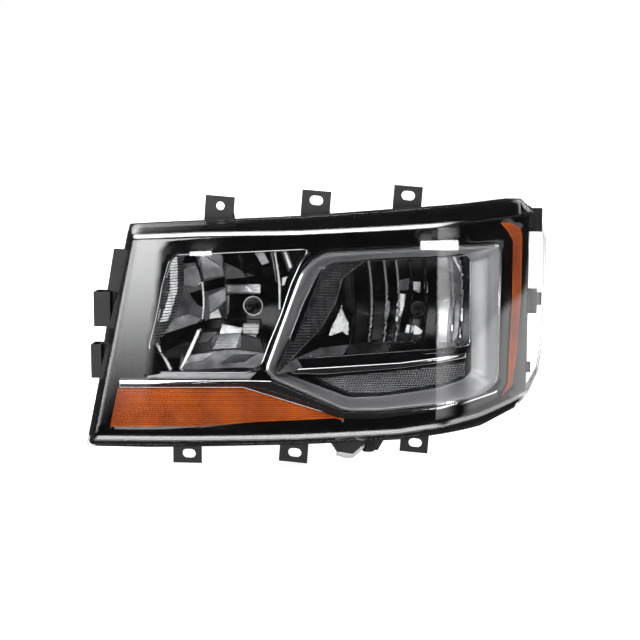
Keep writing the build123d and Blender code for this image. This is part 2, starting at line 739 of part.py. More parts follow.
def connector_pins():
    root_y = BACK_WALL_LOW_Y + 8
    pins = []
    for row in range(2):
        for column in range(4):
            x, z = 221 + row * 8, 1 + column * 10
            pins.append(block(x - 0.8, x + 0.8, root_y, root_y + 7, z - 1.2, z + 1.2))
    return Compound(pins)


def breather(x, y, z):
    """Short rubber elbow that lets the lamp breathe and points down to shed water."""
    stem = rod((x, y, z), 6, 12)
    tail = Pos(x, y + 10, z - 8) * Cylinder(5, 20)
    body = stem + tail
    return body - (Pos(x, y + 10, z - 14) * Cylinder(3, 16))


def breathers():
    return Compound([breather(*place) for place in BREATHERS])


def harness_run(points, radius):
    """Wire bundle: straight runs joined by tangent arcs, clipped along the inside of the back wall."""
    path = FilletPolyline(*points, radius=[12.0] * (len(points) - 2))
    start = Plane(origin=path @ 0, z_dir=path % 0)
    return sweep(start * Circle(radius), path=path)


def inner_harness():
    """Bundle from the receptacle, up the back wall and across above both bulb openings."""
    return harness_run([
        (225, 244, 62), (205, 244, 74), (165, 244, 84), (122, 242, 86), (90, 226, 82),
        (68, 202, 76), (46, 186, 70), (14, 187, 66), (-18, 189, 68), (-48, 189, 73),
    ], 3.0)


def export_all(nodes):
    os.makedirs("parts", exist_ok=True)
    home = Pos(-ORIGIN[0], -ORIGIN[1], -ORIGIN[2])
    for name, shape in nodes.items():
        placed = home * shape
        placed.label = name
        export_step(placed, f"parts/{name}.step")


def build():
    keep_out = housing_outer() + flange()
    nodes = {
        "housing": housing(),
        "lens_seal": lens_seal(),
        "outer_lens": outer_lens(),
        "locator_tab": locator_tab(keep_out),
        "top_slot_tabs": slotted_tabs(TOP_TABS[1:], TOP_HOLES[1:], keep_out),
        "bottom_slot_tabs": slotted_tabs(BOTTOM_TABS, BOTTOM_HOLES, keep_out),
        "side_guide_bracket": side_guide_bracket(keep_out),
        "outboard_clips": outboard_clips(keep_out),
        "lower_boss": lower_boss(keep_out),
        "lower_peg": lower_peg(keep_out),
        "vent_strap": vent_strap(),
        "bezel": bezel(),
        "high_beam_surround": high_beam_surround(),
        "low_beam_frame": low_beam_frame(),
        "low_beam_shroud": low_beam_shroud(),
        "waist_strip": waist_strip(),
        "turn_lens": turn_lens(),
        "turn_reflector": turn_reflector(),
        "day_lens": day_lens(),
        "day_reflector": day_reflector(),
        "day_strip": day_strip(),
        "side_marker_lens": side_marker(),
        "high_beam_reflector": high_beam_reflector(),
        "low_beam_reflector": low_beam_reflector(),
        "reflector_carrier": reflector_carrier(),
        "pivot_block": pivot_block(),
        "yaw_pins": yaw_pins(),
        "side_adjuster_body": side_adjuster_body(),
        "side_adjuster_rod": ball_rod(SIDE_SCREW_X, PIVOT_Z, 222),
        "side_adjuster_knob": knob(SIDE_SCREW_X, 210.3, PIVOT_Z, 11, 8),
        "levelling_motor": levelling_motor(),
        "motor_screws": motor_screws(),
        "levelling_rod": ball_rod(0, LEVEL_ROD_Z, 256),
        "levelling_knob": knob(0, 242.3, LEVEL_ROD_Z, 9, 8),
        "connector_receptacle": connector_receptacle(),
        "connector_pins": connector_pins(),
        "breathers": breathers(),
        "inner_harness": inner_harness(),
        "turn_bulb_holder": twist_holder(TURN_AXIS, TURN_WALL_Y, 12),
        "turn_bulb_seal": holder_seal(TURN_AXIS, TURN_WALL_Y),
        "turn_bulb": small_bulb(TURN_AXIS, TURN_WALL_Y - 12, 9.5, 34),
        "day_bulb_holder": twist_holder(DAY_AXIS, DAY_WALL_Y, 12),
        "day_bulb_seal": holder_seal(DAY_AXIS, DAY_WALL_Y),
        "day_bulb": small_bulb(DAY_AXIS, DAY_WALL_Y - 12, 7.0, 30),
    }
    lamps = (
        ("high", HIGH_AXIS, HIGH_VERTEX_Y, BACK_WALL_HIGH_Y),
        ("low", LOW_AXIS, LOW_VERTEX_Y, BACK_WALL_LOW_Y),
    )
    for beam, axis, vertex_y, wall_y in lamps:
        nodes[f"{beam}_bulb_glass"] = bulb_glass(axis, vertex_y)
        nodes[f"{beam}_bulb_base"] = bulb_base(axis, vertex_y)
        nodes[f"{beam}_bulb_plug"] = bulb_plug(axis, vertex_y)
        nodes[f"{beam}_bulb_clip"] = bulb_clip(axis, vertex_y)
        nodes[f"{beam}_dust_cap"] = dust_cap(axis, wall_y)
        nodes[f"{beam}_cap_seal"] = cap_seal(axis, wall_y)
    export_all(nodes)


build()
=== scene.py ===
import math
import bmesh
import bpy
import numpy as np
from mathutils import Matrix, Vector, geometry


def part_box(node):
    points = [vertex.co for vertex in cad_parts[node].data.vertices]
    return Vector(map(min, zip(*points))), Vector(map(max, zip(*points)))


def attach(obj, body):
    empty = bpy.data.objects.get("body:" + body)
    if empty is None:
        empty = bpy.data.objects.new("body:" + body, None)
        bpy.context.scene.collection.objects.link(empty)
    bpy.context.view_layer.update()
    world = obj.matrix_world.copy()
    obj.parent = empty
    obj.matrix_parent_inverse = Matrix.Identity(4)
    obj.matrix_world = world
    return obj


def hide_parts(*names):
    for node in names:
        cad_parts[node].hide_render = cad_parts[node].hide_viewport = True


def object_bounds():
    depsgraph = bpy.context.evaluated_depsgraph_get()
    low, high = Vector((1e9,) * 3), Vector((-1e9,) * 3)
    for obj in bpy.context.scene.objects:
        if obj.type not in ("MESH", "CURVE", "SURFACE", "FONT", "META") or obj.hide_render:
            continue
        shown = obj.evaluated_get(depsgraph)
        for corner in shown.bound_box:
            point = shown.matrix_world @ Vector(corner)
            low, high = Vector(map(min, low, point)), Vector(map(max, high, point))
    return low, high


# Truck headlamp unit. Sizes are millimetres from the CAD source's datum: x grows outboard and z
# grows up from the middle of the lamp, and y is the depth behind the inboard end of the lens face.
# place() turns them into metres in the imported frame.

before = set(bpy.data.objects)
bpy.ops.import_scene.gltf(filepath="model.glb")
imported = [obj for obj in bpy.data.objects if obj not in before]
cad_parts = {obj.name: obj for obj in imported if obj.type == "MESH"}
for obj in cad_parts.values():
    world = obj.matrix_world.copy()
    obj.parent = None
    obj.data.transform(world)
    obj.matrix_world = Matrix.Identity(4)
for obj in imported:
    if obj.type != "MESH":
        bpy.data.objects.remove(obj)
cad_low, cad_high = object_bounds()

MM = 0.001
PIVOT_CENTRE = Vector((1.0, 160.0, 15.0))
pivot_low, pivot_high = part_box("pivot_block")
HOME = (pivot_low + pivot_high) / 2 - PIVOT_CENTRE * MM
FLOOR_Z = cad_low.z


def place(point):
    return Vector(point) * MM + HOME


def add_object(name, data):
    made = bpy.data.objects.new(name, data)
    bpy.context.collection.objects.link(made)
    return made


def aim_at(thing, location, target):
    """Put a camera or light in its place and turn it towards the target."""
    thing.location = place(location)
    thing.rotation_mode = "QUATERNION"
    thing.rotation_quaternion = (place(target) - thing.location).to_track_quat("-Z", "Y")


# ---- camera and studio ----

FOCAL_LENGTH = 95.2
SENSOR_WIDTH = 36.0
CAMERA_SHIFT = (0.0078, 0.0070)
CLIP_METRES = (0.05, 60.0)
CAMERA_AT = (208.3, -2102.9, 344.2)
CAMERA_AIM = (0.0, 60.0, 0.0)


def make_camera():
    """Long lens in front of the lamp, a little above it and towards its outboard end."""
    data = bpy.data.cameras.new("camera")
    data.lens = FOCAL_LENGTH
    data.sensor_width = SENSOR_WIDTH
    data.shift_x, data.shift_y = CAMERA_SHIFT
    data.clip_start, data.clip_end = CLIP_METRES
    camera = add_object("camera", data)
    aim_at(camera, CAMERA_AT, CAMERA_AIM)
    bpy.context.scene.camera = camera


def wire(tree, value, socket):
    """Feed a socket from another socket, or set it to a constant."""
    if isinstance(value, bpy.types.NodeSocket):
        tree.links.new(value, socket)
    else:
        socket.default_value = value


def feed(tree, made, **inputs):
    """Fill a node's inputs by name, with _ for a space."""
    for name, value in inputs.items():
        wire(tree, value, made.inputs[name.replace("_", " ")])


def node(tree, kind, *values, **inputs):
    """New node with its inputs fed in order or by name."""
    made = tree.nodes.new("ShaderNode" + kind)
    for value, socket in zip(values, made.inputs):
        wire(tree, value, socket)
    feed(tree, made, **inputs)
    return made


def maths(tree, operation, *values):
    made = node(tree, "Math", *values)
    made.operation = operation
    return made.outputs[0]


def rise(tree, value, start, end):
    """0 up to start, 1 from end on and smooth between."""
    made = node(tree, "MapRange", Value=value, From_Min=start, From_Max=end)
    made.interpolation_type = "SMOOTHSTEP"
    return made.outputs["Result"]


def window(tree, value, start, open_from, open_to, end):
    """1 between open_from and open_to, falling softly to 0 at start and end."""
    opening = rise(tree, value, start, open_from)
    closing = rise(tree, value, open_to, end)
    return maths(tree, "MULTIPLY", opening, maths(tree, "SUBTRACT", 1.0, closing))


# strength, slant, tilt, azimuth window, elevation window; degrees, azimuth 0 is the lamp's front
SOFTBOXES = [
    (7, 0.256, 0, (-60, -42, -2.5, -1.7), (-12.3, -5.2, 12, 20)),
    (1.5, 0, 0, (28.4, 31, 36, 58), (-17, -12, 6, 14)),
    (3.6, 0, 0, (28.4, 29.4, 36, 48), (6, 14, 18, 26)),
    (20, 0, 0, (19.3, 19.5, 54, 57), (-6.47, -6.44, -6.16, -6.13)),
    (20, 0, 0, (-1.1, -1, 0.85, 0.95), (-6.66, -6.63, -6.54, -6.51)),
    (4.2, 0, 0, (-80, -60, 50, 80), (36, 42, 70, 82)),
    (1.5, 0, 0.048, (62, 74, 125, 140), (-80, -70, -13.4, -12.9)),
    (2.4, 0, 0, (-181, -180.5, 180.5, 181), (-91, -90.5, -58, -50)),
    (1.6, 0, 0, (110, 130, 160, 175), (10, 16, 26, 34)),
    (1.6, 0, 0, (-175, -160, -135, -115), (10, 16, 26, 34)),
]
ROOM_GREY = 0.02
WHITE_LIGHT = (1.0, 1.0, 1.0, 1.0)


def make_world():
    """White behind the lamp; reflections see a dark room with soft boxes."""
    studio = bpy.data.worlds.new("studio")
    bpy.context.scene.world = studio
    studio.use_nodes = True
    tree = studio.node_tree
    tree.nodes.clear()
    direction = node(tree, "TexCoord").outputs["Generated"]
    x, y, z = node(tree, "SeparateXYZ", direction).outputs
    azimuth = maths(tree, "DEGREES", maths(tree, "ARCTAN2", x, maths(tree, "MULTIPLY", y, -1.0)))
    elevation = maths(tree, "DEGREES", maths(tree, "ARCSINE", z))
    total = None
    for strength, slant, tilt, sideways, upward in SOFTBOXES:
        leaning = maths(tree, "SUBTRACT", azimuth, maths(tree, "MULTIPLY", elevation, slant))
        across = window(tree, leaning, *sideways)
        tilted = maths(tree, "SUBTRACT", elevation, maths(tree, "MULTIPLY", azimuth, tilt))
        box = maths(tree, "MULTIPLY", across, window(tree, tilted, *upward))
        glow = maths(tree, "MULTIPLY", box, strength)
        total = maths(tree, "ADD", glow, ROOM_GREY if total is None else total)
    seen = node(tree, "LightPath").outputs["Is Camera Ray"]
    room = maths(tree, "MULTIPLY", total, maths(tree, "SUBTRACT", 1.0, seen))
    background = node(tree, "Background", WHITE_LIGHT, maths(tree, "ADD", room, seen))
    node(tree, "OutputWorld", background.outputs[0])


# name, place and aim in millimetres, width and height in metres, watts
STUDIO_LIGHTS = [
    ("key_top", (-300, -900, 1900), (0, 60, 0), 1.8, 1.2, 42.0),
    ("key_left", (-1500, -1300, 500), (0, 60, 0), 1.0, 1.4, 18.0),
    ("key_right", (1700, -900, 400), (100, 80, 0), 1.0, 1.4, 18.0),
    ("key_back", (400, 1900, 1300), (0, 160, 0), 1.6, 1.2, 36.0),
]


def soft_light(name, location, aim, width, height, watts):
    """Rectangular area light that neither the camera nor a reflection sees."""
    data = bpy.data.lights.new(name, "AREA")
    data.shape = "RECTANGLE"
    data.size = width
    data.size_y = height
    data.energy = watts
    light = add_object(name, data)
    aim_at(light, location, aim)
    light.visible_camera = False
    light.visible_glossy = False


FLOOR_REACH = 6.0
FLOOR_GREY = 0.9
FLOOR_GLOW = 0.72


def make_floor():
    """Plain pale paper under the lamp."""
    mesh = bpy.data.meshes.new("floor")
    corners = [(-FLOOR_REACH, -FLOOR_REACH), (FLOOR_REACH, -FLOOR_REACH),
               (FLOOR_REACH, FLOOR_REACH), (-FLOOR_REACH, FLOOR_REACH)]
    mesh.from_pydata([(x, y, FLOOR_Z) for x, y in corners], [], [(0, 1, 2, 3)])
    floor = add_object("floor", mesh)
    paint = bpy.data.materials.new("floor_paper")
    paint.use_nodes = True
    shader = paint.node_tree.nodes["Principled BSDF"]
    feed(paint.node_tree, shader, Base_Color=(FLOOR_GREY, FLOOR_GREY, FLOOR_GREY, 1.0), Roughness=0.9,
         Emission_Color=WHITE_LIGHT, Emission_Strength=FLOOR_GLOW)
    mesh.materials.append(paint)
    floor.visible_glossy = False


# ---- finishes ----

NOISE_LOW = 0.3
NOISE_HIGH = 0.7


def noise(tree, vector, scale, detail):
    return node(tree, "TexNoise", Vector=vector, Scale=scale, Detail=detail).outputs["Fac"]


def spread(tree, value, low, high):
    """Noise turned into the range from low to high."""
    made = node(tree, "MapRange", Value=value, From_Min=NOISE_LOW, From_Max=NOISE_HIGH, To_Min=low,
                To_Max=high)
    return made.outputs["Result"]


def blend_colours(tree, value, dark, light):
    ramp = node(tree, "ValToRGB", value)
    ends = ramp.color_ramp.elements
    for end, position, colour in zip(ends, (NOISE_LOW, NOISE_HIGH), (dark, light)):
        end.position = position
        end.color = (*colour, 1.0)
    return ramp.outputs["Color"]


def finish(name, dark, light, rough, metallic=0.0, blotch=30.0, grain=900.0, bump=0.1,
           depth=0.0001, specular=0.5, facing_gloss=None):
    """Procedural material: close colours in soft blotches, uneven roughness and a fine grain."""
    material = bpy.data.materials.new(name)
    material.use_nodes = True
    tree = material.node_tree
    shader = tree.nodes["Principled BSDF"]
    coords = node(tree, "TexCoord").outputs["Object"]
    soft = noise(tree, coords, blotch, 3.0)
    raised = node(tree, "Bump", Strength=bump, Distance=depth, Height=noise(tree, coords, grain, 2.0))
    feed(tree, shader, Metallic=metallic, Specular_IOR_Level=specular,
         Base_Color=blend_colours(tree, soft, dark, light), Roughness=spread(tree, soft, *rough),
         Normal=raised.outputs["Normal"])
    if facing_gloss is not None:
        see_through(tree, shader, facing_gloss)
    return material


HEAD_ON_TINT = (0.975, 0.977, 0.98)
EDGE_ON_TINT = (0.40, 0.41, 0.42)
EDGE_ON_POWER = 5.0


def see_through(tree, shader, facing_gloss):
    """Clear skin: shows what lies behind, glossier and greyer where it is seen edge on."""
    facing = node(tree, "LayerWeight", Blend=0.5).outputs["Facing"]
    steep = maths(tree, "POWER", facing, EDGE_ON_POWER)
    clear = node(tree, "BsdfTransparent", blend_colours(tree, steep, HEAD_ON_TINT, EDGE_ON_TINT))
    gloss = maths(tree, "MULTIPLY_ADD", steep, 1.0 - facing_gloss, facing_gloss)
    mix = node(tree, "MixShader", gloss, clear.outputs[0], shader.outputs[0])
    wire(tree, mix.outputs[0], tree.nodes["Material Output"].inputs["Surface"])


def grey(level, cool=0.0):
    return (level, level, level + cool)


def optic(name, dark, light, rough, metallic, blotch, bump, depth):
    """Finish of the moulded reflector facets, with a coarser grain than the rest; its lighter and darker
    grey copies are painted reflections.
    """
    return finish(name, dark, light, rough, metallic, blotch, 420.0, bump, depth)


GLOSS_BLACK = finish("gloss_black", grey(0.0012, 0.0002), grey(0.003, 0.0003), (0.03, 0.08), bump=0.02)
MOULDED_BLACK = finish("moulded_black", grey(0.0045, 0.0003), grey(0.0095, 0.0003), (0.34, 0.5),
                       bump=0.4, grain=1400.0, specular=0.28)
NOSE_BLACK = finish("nose_black", grey(0.001), grey(0.002), (0.35, 0.5), bump=0.05)
RUBBER = finish("rubber", grey(0.006), grey(0.012), (0.6, 0.8), bump=0.4)
GREY_PLASTIC = finish("grey_plastic", grey(0.07, 0.004), grey(0.10, 0.004), (0.4, 0.55), bump=0.3)
CHROME = finish("chrome", grey(0.80, 0.01), grey(0.88, 0.01), (0.03, 0.07), 1.0, bump=0.02)
# Lit and shaded copies of one reflector chrome: each grey level is a painted reflection.
BRIGHT_REFLECTION_PAINT = optic("bright_reflection_paint", grey(0.22, 0.005), grey(0.46, 0.005), (0.16, 0.28), 0.6, 55.0,
                     0.35, 0.0004)
# On the bowl facets this mid grey is a painted reflection; on the turn and day reflectors it is their
# chrome.
MID_OPTIC = optic("mid_optic", grey(0.055, 0.002), grey(0.20, 0.005), (0.16, 0.28), 0.6, 48.0,
                  0.35, 0.0004)
DARK_REFLECTION_PAINT = optic("dark_reflection_paint", grey(0.003, 0.0003), grey(0.012, 0.0005), (0.08, 0.18), 0.7, 60.0,
                   0.25, 0.0003)
SMOKE_REFLECTION_PAINT = optic("smoke_reflection_paint", grey(0.012, 0.001), (0.040, 0.041, 0.042), (0.12, 0.24), 0.6, 60.0,
                    0.3, 0.0003)
# Nearly matt white for the brightest facets: painted highlight.
WHITE_HIGHLIGHT_PAINT = finish("white_highlight_paint", grey(0.62), grey(0.86), (0.22, 0.36), 0.15, blotch=90.0)
SATIN = finish("satin_silver", grey(0.22, 0.006), grey(0.275, 0.006), (0.34, 0.42), 0.65,
               grain=2200.0, bump=0.12)
# Turned chrome ring given a nearly matt white so that it reads bright: painted highlight.
RING_PAINTED_HIGHLIGHT = finish("ring_painted_highlight", grey(0.70), grey(0.90), (0.25, 0.40), 0.3, blotch=200.0)
AMBER = finish("amber_optic", (0.15, 0.022, 0.0004), (0.37, 0.066, 0.001), (0.10, 0.20),
               blotch=22.0, specular=0.25)
# Darker amber for the seams between pillows: painted shade.
AMBER_SEAM_SHADE = finish("amber_seam_shade", (0.035, 0.004, 0.0002), (0.08, 0.010, 0.0004), (0.16, 0.3),
                    specular=0.2)
GREY_OPTIC = finish("grey_optic", (0.008, 0.0085, 0.009), (0.022, 0.023, 0.024), (0.08, 0.16), 0.4)
# Lighter grey for the seams between pillows: painted highlight.
GREY_SEAM_HIGHLIGHT = finish("grey_seam_highlight", grey(0.11, 0.002), grey(0.19, 0.002), (0.2, 0.3), 0.2)
CLEAR = finish("clear_lens", grey(0.95), grey(1.0), (0.004, 0.02), 1.0, bump=0.0, facing_gloss=0.04)
CLEAR_EDGE = finish("clear_lens_edge", grey(0.95), grey(1.0), (0.02, 0.06), 1.0, bump=0.0,
                    facing_gloss=0.22)
HARD_GLASS = finish("hard_glass", grey(0.9), grey(1.0), (0.01, 0.03), 1.0, bump=0.0, facing_gloss=0.04)
FROSTED = finish("frosted_clear", grey(0.30, 0.01), grey(0.42, 0.01), (0.25, 0.35), bump=0.2,
                 facing_gloss=0.5)
STEEL = finish("zinc_steel", grey(0.42, -0.01), grey(0.62, -0.02), (0.22, 0.4), 1.0, blotch=120.0)
# Nearly black steel for the bulb bases: their metal, with the painted shade of the deep bulb holes in its
# near-black.
DARK_STEEL_AND_SHADE = finish("dark_steel_and_shade", grey(0.02), grey(0.05), (0.3, 0.5), 1.0)
BRASS = finish("tinned_brass", (0.60, 0.47, 0.22), (0.78, 0.63, 0.34), (0.2, 0.34), 1.0, blotch=200.0)
TAPE = finish("loom_tape", grey(0.008, 0.001), grey(0.018, 0.001), (0.45, 0.7), grain=500.0, bump=0.6)

NODE_FINISHES = {
    GLOSS_BLACK: ("levelling_knob",),
    RUBBER: ("lens_seal", "breathers", "turn_bulb_seal", "day_bulb_seal", "high_cap_seal",
             "low_cap_seal"),
    GREY_PLASTIC: ("turn_bulb_holder", "day_bulb_holder", "high_bulb_plug", "low_bulb_plug",
                   "side_adjuster_knob"),
    MID_OPTIC: ("turn_reflector", "day_reflector"),
    HARD_GLASS: ("day_bulb", "turn_bulb"),
    FROSTED: ("vent_strap",),
    STEEL: ("high_bulb_clip", "low_bulb_clip", "side_adjuster_rod", "levelling_rod", "yaw_pins",
            "motor_screws"),
    DARK_STEEL_AND_SHADE: ("high_bulb_base", "low_bulb_base"),
    BRASS: ("connector_pins",),
    TAPE: ("inner_harness",),
}


def paint_nodes():
    """Carried-over CAD parts: each gets its finish, and moulded black is the rest."""
    chosen = {name: material for material, names in NODE_FINISHES.items() for name in names}
    for name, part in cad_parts.items():
        part.data.materials.clear()
        part.data.materials.append(chosen.get(name, MOULDED_BLACK))


# ---- flat outlines ----

def rounded(points, radius, steps=5):
    """Closed outline with its corners rounded."""
    loop = []
    count = len(points)
    for i, corner in enumerate(points):
        corner = Vector(corner)
        back = Vector(points[i - 1]) - corner
        ahead = Vector(points[(i + 1) % count]) - corner
        reach = min(radius, 0.45 * back.length, 0.45 * ahead.length)
        start = corner + back.normalized() * reach
        end = corner + ahead.normalized() * reach
        for step in range(steps + 1):
            t = step / steps
            loop.append((1 - t) ** 2 * start + 2 * t * (1 - t) * corner + t * t * end)
    return loop


def dense_together(loops, spacing):
    """Matching closed loops cut into the same steps, set by the first one."""
    lead = loops[0]
    made = [[] for _ in loops]
    for i in range(len(lead)):
        j = (i + 1) % len(lead)
        parts = max(1, round((lead[j] - lead[i]).length / spacing))
        for part in range(parts):
            for loop, out in zip(loops, made):
                out.append(loop[i].lerp(loop[j], part / parts))
    return made


def outline(points, radius, spacing=4.0):
    loop = dense_together([rounded(points, radius)], spacing)[0]
    return loop if signed_area(loop) > 0 else loop[::-1]


def signed_area(loop):
    return sum(a.x * b.y - b.x * a.y for a, b in zip(loop, loop[1:] + loop[:1])) / 2


def shift(loop, amount):
    """Counter-clockwise loop moved outwards along its normals."""
    moved = []
    count = len(loop)
    for i, here in enumerate(loop):
        before = (here - loop[i - 1]).normalized()
        after = (loop[(i + 1) % count] - here).normalized()
        first = Vector((before.y, -before.x))
        middle = (first + Vector((after.y, -after.x))).normalized()
        moved.append(here + middle * (amount / max(0.5, middle.dot(first))))
    return moved


def inside(points, loop):
    """Which of the points lie inside the loop."""
    ends = np.roll(loop, -1, axis=0)
    ax, az, bx, bz = loop[:, 0], loop[:, 1], ends[:, 0], ends[:, 1]
    x, z = points[:, 0:1], points[:, 1:2]
    crosses = (az > z) != (bz > z)
    cut = ax + (bx - ax) * (z - az) / (bz - az + 1e-12)
    return np.sum(crosses & (x < cut), axis=1) % 2 == 1


def fill(loops, spacing):
    """Triangles inside the first loop and outside the others."""
    flat = [np.array([(p.x, p.y) for p in loop]) for loop in loops]
    border = np.concatenate(flat)
    low, high = flat[0].min(0), flat[0].max(0)
    across, up = np.meshgrid(np.arange(low[0], high[0], spacing), np.arange(low[1], high[1], spacing))
    inner = np.stack([across.ravel(), up.ravel()], 1)
    inner = inner[inside(inner, flat[0])]
    for hole in flat[1:]:
        inner = inner[~inside(inner, hole)]
    gaps = [np.hypot(*(border - point).T).min() for point in inner]
    inner = inner[np.array(gaps) > 0.45 * spacing] if len(inner) else inner
    edges, start = [], 0
    for loop in flat:
        count = len(loop)
        edges += [(start + i, start + (i + 1) % count) for i in range(count)]
        start += count
    points = [Vector(p) for p in np.concatenate([border, inner])]
    made = geometry.delaunay_2d_cdt(points, edges, [], 1, 1e-4)
    corners = np.array([(p.x, p.y) for p in made[0]])
    triangles = np.array(made[2])
    centres = corners[triangles].mean(1)
    keep = inside(centres, flat[0])
    for hole in flat[1:]:
        keep &= ~inside(centres, hole)
    return corners, triangles[keep]


# ---- the lamp's sweep ----

SWEEP_START_X = -300.0
SWEEP_SIZE = 5200.0
SWEEP_SLOPE = 0.02
TURN_START_X = 150.0
TURN_SIZE = 211.0
CORNER_X = 262.0


def face_y(x):
    """Depth of the lens face at x: a slow sweep, and a tighter one towards the corner."""
    run = x - SWEEP_START_X
    corner = max(0.0, x - TURN_START_X)
    return run**2 / SWEEP_SIZE + SWEEP_SLOPE * run + corner**2 / TURN_SIZE


def table(points):
    xs, values = zip(*points)
    return lambda x: float(np.interp(x, xs, values))


crease_top = table([(-312, 119), (-147, 124.5), (-18, 126), (110, 131.4), (213, 136.9), (312, 142)])
crease_bottom = table([(-312, -146.5), (-147, -146), (-18, -143.9), (110, -138.6), (162, -131.3),
                       (213, -123.2), (262, -110.3), (312, -97)])
draft_top = table([(-312, 0.22), (-147, 0.25), (-18, 0.30), (110, 0.37), (213, 0.42), (312, 0.42)])
draft_bottom = table([(-312, 0.42), (-18, 0.38), (110, 0.39), (213, 0.46), (312, 0.46)])
rim_top = table([(-241, 130.5), (-200, 133), (-20, 141), (108, 150), (232, 157.8), (254, 157.5),
                 (266, 155), (282, 140), (297, 119), (302, 98), (304, 84)])
rim_bottom = table([(-291, -166.5), (-219, -167), (-21, -163), (110, -158), (216, -146),
                    (262, -130), (282, -102), (294, -78), (303.5, 0)])
corner_front = table([(262, 131.4), (270, 142), (276, 150.6), (285, 163.9), (291, 173.9),
                      (297, 186), (300, 194), (302, 206)])
corner_back = table([(276, 226), (286, 225), (293, 222.5), (298, 217.5), (301, 212), (302, 206)])
RIM_DEPTH = 50.0
END_X = 276.0
TOP_CORNER_R = 13.0
BOTTOM_CORNER_R = 6.0
END_WALL_X = -252.0
END_WALL_BACK_LEAN = 0.334
END_WALL_UP_LEAN = 0.2115
END_WALL_INSET = 1.05


def front_y(x):
    return face_y(x) if x < CORNER_X else corner_front(x)


def rim_depth(x):
    return RIM_DEPTH if x <= END_X else corner_back(x) - corner_front(x)


def corner_drop(step, radius, depth):
    """How far the inboard corner's rounding pulls an edge in, growing from the face to the rim."""
    short = max(0.0, radius - step)
    return (radius - math.sqrt(radius**2 - short**2)) * min(1.0, depth / RIM_DEPTH)


def top_z(x, depth, inset=0.0, step=99.0):
    drop = corner_drop(step, TOP_CORNER_R, depth)
    return min(crease_top(x) + draft_top(x) * depth, rim_top(x)) - inset - drop


def bottom_z(x, depth, inset=0.0, step=99.0):
    drop = corner_drop(step, BOTTOM_CORNER_R, depth)
    return max(crease_bottom(x) - draft_bottom(x) * depth, rim_bottom(x)) + inset + drop


def left_x(y, z, inset=0.0):
    """Inboard end wall, which leans back and up."""
    return END_WALL_X - END_WALL_BACK_LEAN * y + END_WALL_UP_LEAN * z + END_WALL_INSET * inset


# ---- making pieces ----

class Form:
    """Points and faces of one piece, in millimetres from the datum."""

    def __init__(self):
        self.points = []
        self.faces = []
        self.tints = []

    def add(self, points):
        start = len(self.points)
        self.points.extend(tuple(point) for point in points)
        return list(range(start, len(self.points)))

    def bridge(self, first, second, closed=True, tint=0):
        count = len(first)
        for i in range(count if closed else count - 1):
            j = (i + 1) % count
            self.faces.append((first[i], first[j], second[j], second[i]))
            self.tints.append(tint)

    def rings(self, loops, tint=0, closed=True):
        lines = [self.add(loop) for loop in loops]
        for first, second in zip(lines, lines[1:]):
            self.bridge(first, second, closed, tint)
        return lines

    def cap(self, loops, spacing, depth, tint=0):
        corners, triangles = fill(loops, spacing)
        start = len(self.points)
        self.points.extend((x, depth(x, z), z) for x, z in corners)
        middles = corners[triangles].mean(1)
        for triangle, (x, z) in zip(triangles, middles):
            self.faces.append(tuple(int(start + i) for i in triangle))
            self.tints.append(tint(x, z) if callable(tint) else tint)

    def make(self, name, body, finishes, replaced=(), sharp=38.0, thickness=0.0):
        mesh = bpy.data.meshes.new(name)
        mesh.from_pydata([place(point) for point in self.points], [], self.faces)
        for material in finishes:
            mesh.materials.append(material)
        mesh.polygons.foreach_set("material_index", self.tints)
        mesh.update()
        work = bmesh.new()
        work.from_mesh(mesh)
        bmesh.ops.remove_doubles(work, verts=work.verts, dist=0.00002)
        bmesh.ops.recalc_face_normals(work, faces=work.faces)
        work.to_mesh(mesh)
        work.free()
        mesh.shade_smooth()
        mesh.set_sharp_from_angle(angle=math.radians(sharp))
        piece = add_object(name, mesh)
        if thickness:
            solid = piece.modifiers.new("thickness", "SOLIDIFY")
            solid.thickness = thickness * MM
            solid.offset = -1.0
        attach(piece, body)
        if replaced:
            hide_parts(*replaced)
        return piece


SLAB_SPACING = 7.0


def swept(loop, depth):
    return [(p.x, front_y(p.x) + depth, p.y) for p in loop]


def profile(loop, steps):
    """Copies of a loop, each moved out and back by one step of a section."""
    return [swept(shift(loop, out), depth) for out, depth in steps]


def slab(form, outer, holes, front, back, edge, turns=4):
    """Plate that follows the lamp's sweep, with rounded edges towards the front."""
    outlines = [(outer, -1.0), *((hole, 1.0) for hole in holes)]
    flat = [shift(loop, side * edge) for loop, side in outlines]
    form.cap(flat, SLAB_SPACING, lambda x, z: front_y(x) + front)
    form.cap([loop for loop, _ in outlines], SLAB_SPACING * 2, lambda x, z: front_y(x) + back)
    for loop, side in outlines:
        angles = [math.pi / 2 * turn / turns for turn in range(turns + 1)]
        steps = [(side * edge * (1 - math.sin(a)), front + edge * (1 - math.cos(a))) for a in angles]
        form.rings(profile(loop, steps) + [swept(loop, back)])


def tube_along(form, path, radius, sides=8):
    """Round bead along a closed 3-D path; radius may vary from point to point."""
    rings = []
    for i, here in enumerate(path):
        ahead = path[(i + 1) % len(path)]
        along = (Vector(ahead) - Vector(path[i - 1])).normalized()
        side = along.cross(Vector((0, 1, 0))).normalized()
        out = side.cross(along)
        size = radius(i) if callable(radius) else radius
        rings.append([Vector(here) + (side * math.cos(a) + out * math.sin(a)) * size
                      for a in (2 * math.pi * k / sides for k in range(sides))])
    lines = form.rings(rings)
    form.bridge(lines[-1], lines[0])


def lathe(form, centre, section, sides=48, tint=0):
    """Section of (radius, y) turned round an axis along Y."""
    x, z = centre
    rings = []
    for radius, y in section:
        rings.append([(x + radius * math.cos(a), y, z + radius * math.sin(a))
                      for a in (2 * math.pi * k / sides for k in range(sides))])
    form.rings(rings, tint)


# ---- outer lens ----

